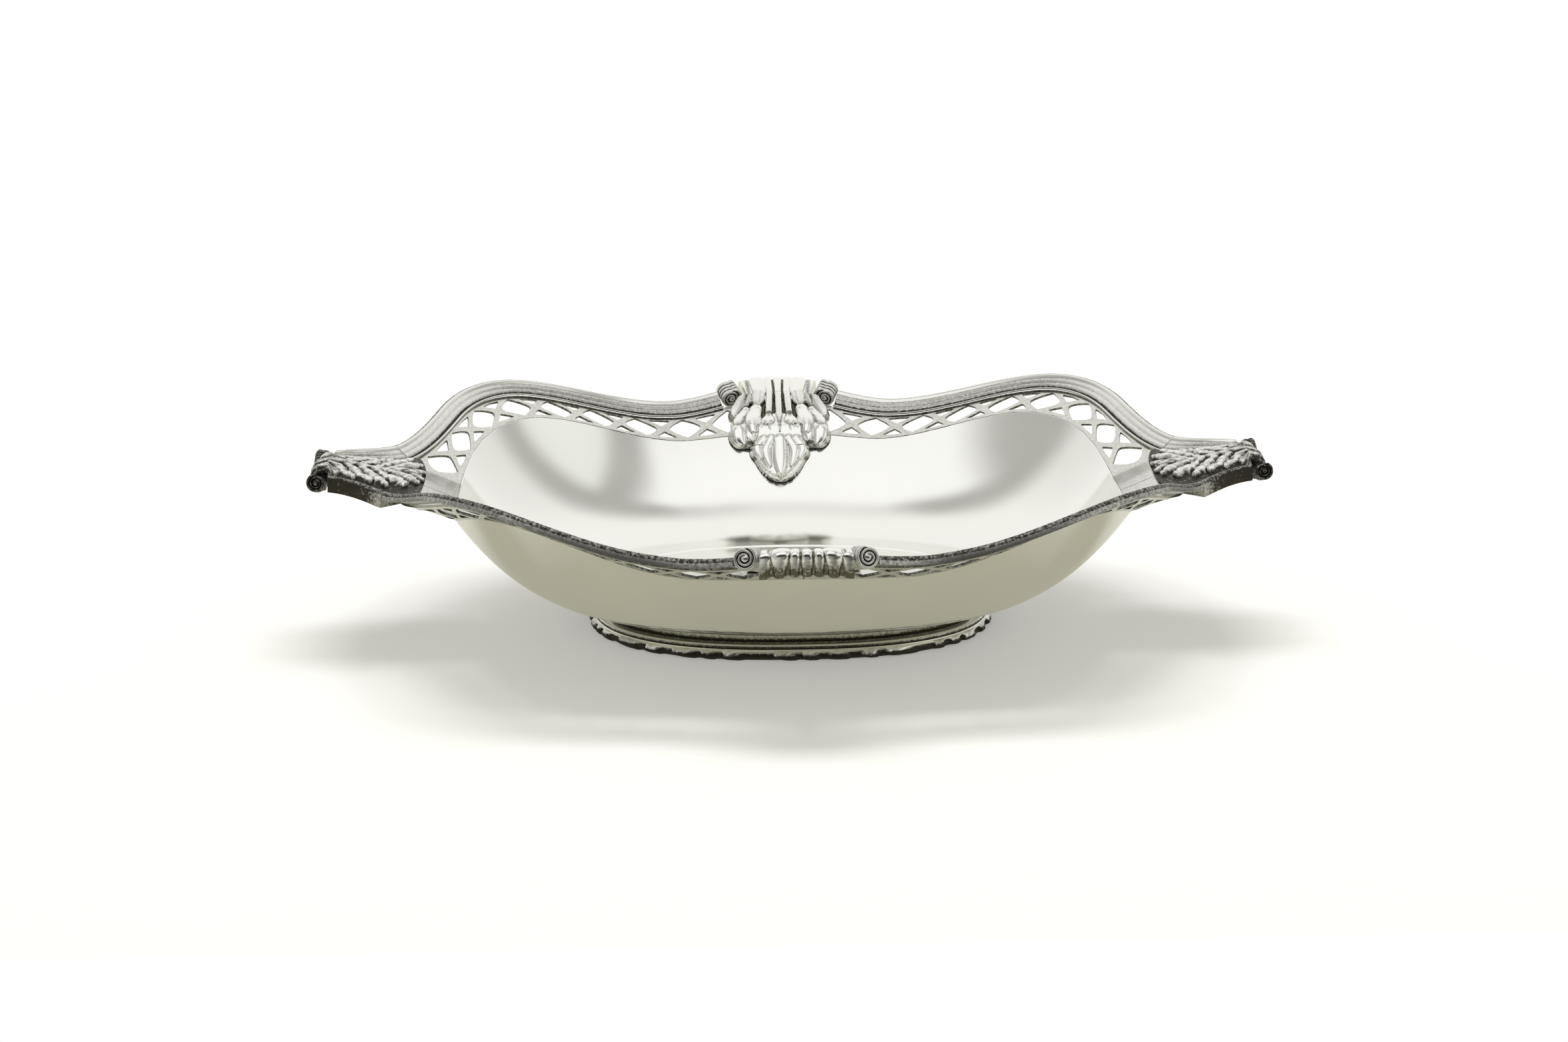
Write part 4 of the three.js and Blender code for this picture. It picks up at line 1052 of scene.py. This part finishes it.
def leaf_line():
    """The leaf's middle seen from the side, and the arc length reached at each point."""
    lip = lip_point(0)
    seat = GALLERY_SHEET / 2 + SLOPING_SEAM
    inner = [on_wall(0, level, seat)[[0, 2]] for level in (1.8, 1.9)]
    end = HANDLE_LENGTH / 2
    top = rim_point(SLIGHT_TURN)[2] - 1.5
    outer = [
        (lerp(lip[0], end, 0.07), lip[2] + 2.6), (lerp(lip[0], end, 0.32), top - 4),
        (lerp(lip[0], end, 0.58), top - 1.4), (end - 9, top + 0.4), (end - 5, top - 0.3),
        (end - 2.9, top - 2.8), (end - 4.2, top - 5.2), (end - 6.6, top - 5.2),
    ]
    line = smooth_curve(inner + [np.array(point) for point in outer], 900)
    reached = np.concatenate([[0], np.cumsum(np.linalg.norm(np.diff(line, axis=0), axis=1))])
    return line, reached


def make_handle_leaves():
    """A leaf between two bands. A row is the left band, the field and the right band."""
    line, reached = leaf_line()
    outermost = int(line[:, 0].argmax())
    section = moulding_section()[:-MOULDING_UNDERSIDE_POINTS]
    start_angle = angle_where(MOULDING_END_X + LEAF_JOINT, 0, SLIGHT_TURN, CORNER_ANGLE)
    edge_angles, _ = even_parameters(rim_point, start_angle, SLIGHT_TURN, LEAF_ROWS[1])
    tip = rim_point(SLIGHT_TURN)
    shares = np.linspace(-1, 1, LEAF_FIELD_COLUMNS)
    outward_share = section[:, 0] / section[-1, 0]
    mirror = np.array([1, -1, 1])

    def line_at(arc):
        return np.array([np.interp(arc, reached, line[:, axis]) for axis in (0, 1)])

    def arc_at(x):
        return float(np.interp(x, line[:outermost, 0], reached[:outermost]))

    def banded(angle):
        """A row's place, half width, edge height and band: the moulding's section, drawn smaller
        towards the tip."""
        rim = frame_of(rim_point, angle)
        size = lerp(1, LEAF_TIP_BAND, (rim[0][0] - MOULDING_END_X) / (tip[0] - MOULDING_END_X))
        top = from_rim(rim, section[:, 0] * size, section[:, 1] * size)
        under = from_rim(rim, section[:, 0] * size, -LEAF_EDGE_DEPTH)
        # The bands keep more painted shade towards the tip, and the outer face darkens with painted shade.
        darker = smoothstep(rim[0][0], *LEAF_SIDE_DARKENS)
        depth = bands_with_less_shade(section, lerp(SHADE_SHARE_LEFT, 1, darker))
        depth = np.where(section[:, 0] > LEAF_OUTER_FACE, lerp(0.4, 1.6, darker), depth)
        return arc_at(top[-1, 0]), top[-1, 1], top[-1, 2], (top, under, depth, depth[0])

    def squeezed(front, back):
        """The band of a row without one: it is squeezed into the leaf's own rounded edge."""
        aside = LEAF_SQUEEZED_BAND * (1 - outward_share)
        aside = vec(0 * aside, aside, 0 * aside)
        rounding = np.sqrt(1 - (1 - outward_share) ** 2)[:, None]
        under = back[-1] + aside
        top = lerp(under, front[-1] + aside, lerp(0.3, 1, rounding))
        # The squeezed band and the leaf's underside carry painted shade.
        return top, under, np.full(len(section), 1.2), 1.5

    def field(arc, half_width, edge_height):
        """The carved field of a row: its front, its back, and how deep its places lie."""
        middle = line_at(arc)
        along = unit(line_at(arc + 0.1) - line_at(arc - 0.1))
        normal = np.array([-along[1], along[0]])
        y = shares * half_width
        height, depth = leaf_relief(y, arc)
        height = height * lerp(1, LEAF_ROLL_RELIEF, smoothstep(arc, *LEAF_ROLL_FROM_TO))
        thick = LEAF_PLATE + height * smoothstep(1 - np.abs(shares), 0, 0.07)
        sides_rise = 0 if edge_height is None else edge_height - middle[1] - LEAF_PLATE * normal[1]
        z = middle[1] + sides_rise * shares ** 2
        front = vec(middle[0] + normal[0] * thick, y, z + normal[1] * thick)
        return front, vec(middle[0] + 0 * y, y, z), depth

    first = banded(edge_angles[0])
    rows = []
    for share in np.linspace(0, 1, LEAF_ROWS[0], endpoint=False):
        width = lerp(LEAF_START_HALF_WIDTH, first[1], math.sqrt(1 - (1 - share) ** 2))
        arc = share * first[0]
        middle = np.interp(arc, reached, line[:, 1]) + LEAF_PLATE
        rows.append((arc, width, lerp(middle, first[2], share ** 2), None))
    rows += [banded(angle) for angle in edge_angles]
    for arc in np.linspace(arc_at(tip[0]) + SEAM, reached[-1], LEAF_ROWS[2]):
        rows.append((arc, tip[1] - SCROLL_WIDTH - 2 * SLOPING_SEAM, None, None))

    backs, fronts, depths = [], [], []
    for arc, half_width, edge_height, band in rows:
        front, back, depth = field(arc, half_width, edge_height)
        top, under, band_depth, back_depth = band or squeezed(front, back)
        fronts.append(np.concatenate([top * mirror, front[1:-1], top[::-1]]))
        backs.append(np.concatenate([under * mirror, back[1:-1], under[::-1]]))
        depth = np.concatenate([band_depth, depth[1:-1], band_depth[::-1]])
        depths.append(np.concatenate([np.full(len(depth), back_depth), depth[::-1]]))
    points, faces = lofted_plate(backs, fronts)
    for end, sx in ENDS:
        make_piece(f"acanthus_{end}", points, faces, cast_silver, [f"handle_leaf_{end}"],
                   np.concatenate(depths), signs=(sx, 1), sharp=60)


make_handle_leaves()


FOOT_LENGTH = FLOOR_LENGTH + 2 * FOOT_FLARE
FOOT_WIDTH = FLOOR_WIDTH + 2 * FOOT_SIDE_FLARE
COLLAR_STEPS = 220
STEPS_A_LEAF = 16


def foot_ring(name, node_name, section, material, steps, shade_and_tarnish, swell=0):
    """A closed ring round the oval foot. The section is outward and upward from the foot's edge."""
    angles = np.arange(steps) / steps * 2 * PI
    section = np.array(section, float)
    out = section[None, :, 0] + swell
    x, y = oblong(FOOT_LENGTH + 2 * out, FOOT_WIDTH + 2 * out, FLOOR_SQUARENESS, angles[:, None])
    points = vec(x, y, section[None, :, 1] + 0 * x).reshape(-1, 3)
    faces = grid_faces(steps, len(section), wrap_rows=True, wrap_columns=True)
    depth = np.broadcast_to(shade_and_tarnish, x.shape).reshape(-1)
    make_piece(name, points, faces, material, [node_name], depth, sharp=50)


def make_foot_collar():
    """The plain hollow riser: a waisted face, a rounded hem and the inside."""
    seat = -FOOT_FLARE
    top, bottom = FLOOR_HEIGHT - SEAM, BORDER_HEIGHT + SEAM
    outside = smooth_curve([
        (seat + 0.6, top), (seat + 0.15, top - 0.9), (seat + 0.1, top - 2), (seat + 1.2, bottom + 2.1),
        (-3.4, bottom + 1.5),
    ], 40)
    hem = [(-2.6, bottom + 1.4), (-2.0, bottom + 1.1), (-1.65, bottom + 0.6), (-1.6, bottom)]
    inside = [(seat - 1, bottom), (seat - 1.5, bottom + 2.4), (seat - 1.5, top)]
    section = [tuple(point) for point in outside] + hem + inside
    share = np.linspace(0, 1, len(outside))
    # Painted shade at the top of the waisted face under the bowl, low in the waist, under the hem and
    # inside.
    dark = 1.7 * np.exp(-(share / 0.5) ** 2) + 1.5 * np.exp(-((share - 0.8) / 0.13) ** 2)
    depth = np.concatenate([dark, [0.2, 0.1, 0.9, 1.6], [1.2] * len(inside)])
    foot_ring("foot_collar", "foot_riser", section, raised_silver, COLLAR_STEPS, depth)


def make_foot_border():
    """A border of leaves that stand unevenly, lean, and differ in width, as if chased by hand."""
    steps = BORDER_LEAVES * STEPS_A_LEAF
    face = smooth_curve([(-1.4, 0), (-0.45, 0.6), (0, 1.4), (-0.15, 2.3), (-0.8, 3.2), (-1.6, 3.95)], 30)
    bead = [(-1.7, 4.15), (-1.85, 4.45), (-2.3, BORDER_HEIGHT), (-3, BORDER_HEIGHT)]
    rest = [(-7.6, BORDER_HEIGHT), (-7.6, BORDER_HEIGHT - 1.4), (-5.4, 1.6), (-4.6, 0)]
    section = [tuple(point) for point in face] + bead + rest
    heights = face[:, 1][None, :]
    turn = np.arange(steps) / steps * 2 * PI
    place = np.arange(steps) / STEPS_A_LEAF + 0.22 * np.sin(9 * turn) + 0.16 * np.sin(16 * turn)
    leaf_number = np.floor(place)[:, None] % BORDER_LEAVES
    lean = 0.3 * np.sin(heights / BORDER_HEIGHT * PI) + 0.08 * np.sin(2.1 * leaf_number)
    across = np.abs(place[:, None] % 1 - 0.5 + lean)
    fullness = 0.45 + 0.04 * np.sin(1.3 * leaf_number)
    leaf_half = fullness * np.sqrt(np.clip(1 - np.clip((2.2 - heights) / 2.5, 0, 1) ** 2, 0, 1))
    leaf = np.sqrt(np.clip(1 - (across / np.maximum(leaf_half, 0.02)) ** 2, 0, 1))
    rib = 0.25 * np.exp(-(across / 0.06) ** 2)
    fade = smoothstep(heights, 3.8, 2.4)
    swell = np.zeros((steps, len(section)))
    swell[:, :len(face)] = -BORDER_RELIEF * np.minimum((1 - leaf) + rib * (leaf > 0), 1.2) * fade
    dark_from = 2.9 + 0.5 * np.sin(1.7 * leaf_number)
    dark_to = 1.5 + 0.5 * np.sin(2.9 * leaf_number)
    # Painted shade in the gaps between leaves, along their ribs and on their lower parts.
    below = 1.5 * smoothstep(heights, dark_from, dark_to)
    # Some leaves are a little darker than others.
    leaf_to_leaf_darkening = 0.3 * np.sin(1.9 * leaf_number) ** 2
    depth = np.full((steps, len(section)), 0.5)
    depth[:, :len(face)] = 1.3 * (1 - leaf) * fade + 0.8 * rib + below + leaf_to_leaf_darkening
    depth[:, len(face):len(face) + 3] = 0.05
    # Painted shade on the foot's rounded ends.
    depth += 0.4 * np.cos(turn[:, None]) ** 8
    foot_ring("foot_leaves", "foot_border", section, cast_silver, steps, depth, swell)


make_foot_collar()
make_foot_border()


# The camera stands as in the photograph: a long lens a little above the table.
CAMERA_AZIMUTH = math.radians(-2.6)
CAMERA_ELEVATION = math.radians(17)
CAMERA_DISTANCE = 1300 * MM
CAMERA_TARGET = Vector((-2.6, 0, 39.5)) * MM
SENSOR_WIDTH = 36
IMAGE_WIDTH = 2359
FOCAL_PIXELS = 4890


def make_camera():
    data = bpy.data.cameras.new("camera")
    data.sensor_fit = "HORIZONTAL"
    data.sensor_width = SENSOR_WIDTH
    data.lens = FOCAL_PIXELS / IMAGE_WIDTH * SENSOR_WIDTH
    camera = add_object("camera", data)
    towards = Vector((
        math.sin(CAMERA_AZIMUTH) * math.cos(CAMERA_ELEVATION),
        -math.cos(CAMERA_AZIMUTH) * math.cos(CAMERA_ELEVATION),
        math.sin(CAMERA_ELEVATION),
    ))
    camera.location = CAMERA_TARGET + towards * CAMERA_DISTANCE
    camera.rotation_euler = (-towards).to_track_quat("-Z", "Y").to_euler()
    bpy.context.scene.camera = camera


make_camera()
bpy.context.scene.view_settings.view_transform = "Standard"


# What the silver mirrors, in the order in which the studio is painted.
GREY_SIDES = (0.48, 0.48, 0.46)
PALE_MIDDLE = (0.86, 0.86, 0.84)
BRIGHT_BACK = (0.98, 0.98, 0.96)
WINDOW = (0.9, 0.91, 0.87)
SOFT_BOX = (1.05, 1.05, 1.04)
DARK_FRONT = (0.05, 0.05, 0.045)
LOW_FRONT = (0.26, 0.26, 0.235)
LOW_FRONT_LEFT = (0.5, 0.5, 0.48)
LOW_FRONT_RIGHT = (0.09, 0.09, 0.08)

# The light that everything else gets from the room, and the ground that the camera sees.
AMBIENT = (0.54, 0.52, 0.41)
WHITE = (1, 1, 1)

# The table, in metres: how far it runs to the sides and back, and where it ends in front. It glows
# a little, by these shares where the camera sees it and where the silver mirrors it.
TABLE_REACH = 12
TABLE_FRONT = -0.32
BACKGROUND_SHARE = 0.3
MIRRORED_TABLE = (0.5, 0.49, 0.38)
MIRRORED_SHARE = 0.6
LAMP_TARGET = Vector((0, 0, 30)) * MM


def make_world():
    """A studio: a bright back, a soft box and a window above the front, grey sides, and a dark
    front, which low down is grey on the left and dark on the right. Rays of diffuse light meet
    an even, slightly warm room."""
    world = bpy.data.worlds.new("studio")
    world.use_nodes = True
    tree = world.node_tree
    direction = node(tree, "ShaderNodeTexCoord").outputs["Generated"]
    parts = node(tree, "ShaderNodeSeparateXYZ", {0: direction})
    right, y, z = parts.outputs["X"], parts.outputs["Y"], parts.outputs["Z"]
    x = node(tree, "ShaderNodeMath", {0: right}, operation="ABSOLUTE").outputs[0]

    def ramp(value, low, high, start=0.0, end=1.0):
        limits = {"Value": value, "From Min": low, "From Max": high, "To Min": start, "To Max": end}
        return node(tree, "ShaderNodeMapRange", limits, interpolation_type="SMOOTHSTEP").outputs["Result"]

    def times(a, b):
        return node(tree, "ShaderNodeMath", {0: a, 1: b}, operation="MULTIPLY").outputs[0]

    above = times(ramp(y, -0.03, -0.19), ramp(y, -0.78, -0.66))
    low_front = times(ramp(y, 0, -0.3), ramp(z, 0.05, -0.05))
    room = mixed_colour(tree, GREY_SIDES, PALE_MIDDLE, ramp(x, 0.34, 0.1))
    for colour, share in [
        (BRIGHT_BACK, times(ramp(y, 0, 0.27), ramp(x, 0.5, 0.95, 1, 0.66))),
        (WINDOW, times(above, ramp(right, 0.56, 0.64))),
        (SOFT_BOX, times(above, times(ramp(right, 0.5, 0.32), ramp(right, -0.74, -0.5)))),
        (DARK_FRONT, ramp(y, -0.7, -0.84)),
        (LOW_FRONT, low_front),
        (LOW_FRONT_LEFT, times(low_front, ramp(right, -0.12, -0.42))),
        (LOW_FRONT_RIGHT, times(low_front, ramp(right, 0.12, 0.42))),
    ]:
        room = mixed_colour(tree, room, colour, share)
    path = node(tree, "ShaderNodeLightPath")
    lit = mixed_colour(tree, AMBIENT, room, path.outputs["Is Glossy Ray"])
    shown = mixed_colour(tree, lit, WHITE, path.outputs["Is Camera Ray"])
    background = tree.nodes["Background"]
    background.inputs["Strength"].default_value = 1
    tree.links.new(shown, background.inputs["Color"])
    bpy.context.scene.world = world


def make_floor():
    """A plain pale table, which shows white to the camera and keeps the dish's shadow."""
    mesh = bpy.data.meshes.new("table")
    corners = [(-TABLE_REACH, TABLE_FRONT, 0), (TABLE_REACH, TABLE_FRONT, 0),
               (TABLE_REACH, TABLE_REACH, 0), (-TABLE_REACH, TABLE_REACH, 0)]
    mesh.from_pydata(corners, [], [(0, 1, 2, 3)])
    material, tree, shader = new_material("table_paper")
    shader.inputs["Base Color"].default_value = (0.93, 0.93, 0.93, 1)
    shader.inputs["Roughness"].default_value = 0.9
    shader.inputs["Specular IOR Level"].default_value = 0
    path = node(tree, "ShaderNodeLightPath")
    seen, mirrored = path.outputs["Is Camera Ray"], path.outputs["Is Glossy Ray"]
    shown = mixed_colour(tree, MIRRORED_TABLE, WHITE, seen)
    glow = node(tree, "ShaderNodeEmission", {"Color": shown, "Strength": 1})
    glow_when_mirrored = node(tree, "ShaderNodeMath", {0: mirrored, 1: MIRRORED_SHARE}, operation="MULTIPLY")
    share = node(tree, "ShaderNodeMath", {
        0: seen, 1: BACKGROUND_SHARE, 2: glow_when_mirrored.outputs[0],
    }, operation="MULTIPLY_ADD")
    mixed = node(tree, "ShaderNodeMixShader", {
        0: share.outputs[0], 1: shader.outputs["BSDF"], 2: glow.outputs["Emission"],
    })
    tree.links.new(mixed.outputs["Shader"], tree.nodes["Material Output"].inputs["Surface"])
    mesh.materials.append(material)
    floor = add_object("table", mesh)


def make_softbox(name, place, size, power, colour):
    """A lamp that lights the table and the dish. In what the silver mirrors, the studio's own
    brightness stands for it."""
    data = bpy.data.lights.new(name, "AREA")
    data.shape = "RECTANGLE"
    data.size, data.size_y = size
    data.energy = power
    data.color = colour
    lamp = add_object(name, data)
    lamp.location = place
    lamp.rotation_euler = (LAMP_TARGET - Vector(place)).to_track_quat("-Z", "Y").to_euler()
    lamp.visible_glossy = False


make_world()
make_floor()
make_softbox("overhead_softbox", (0, 2.2, 4.6), (3.6, 1.3), 214, (0.97, 0.975, 0.99))
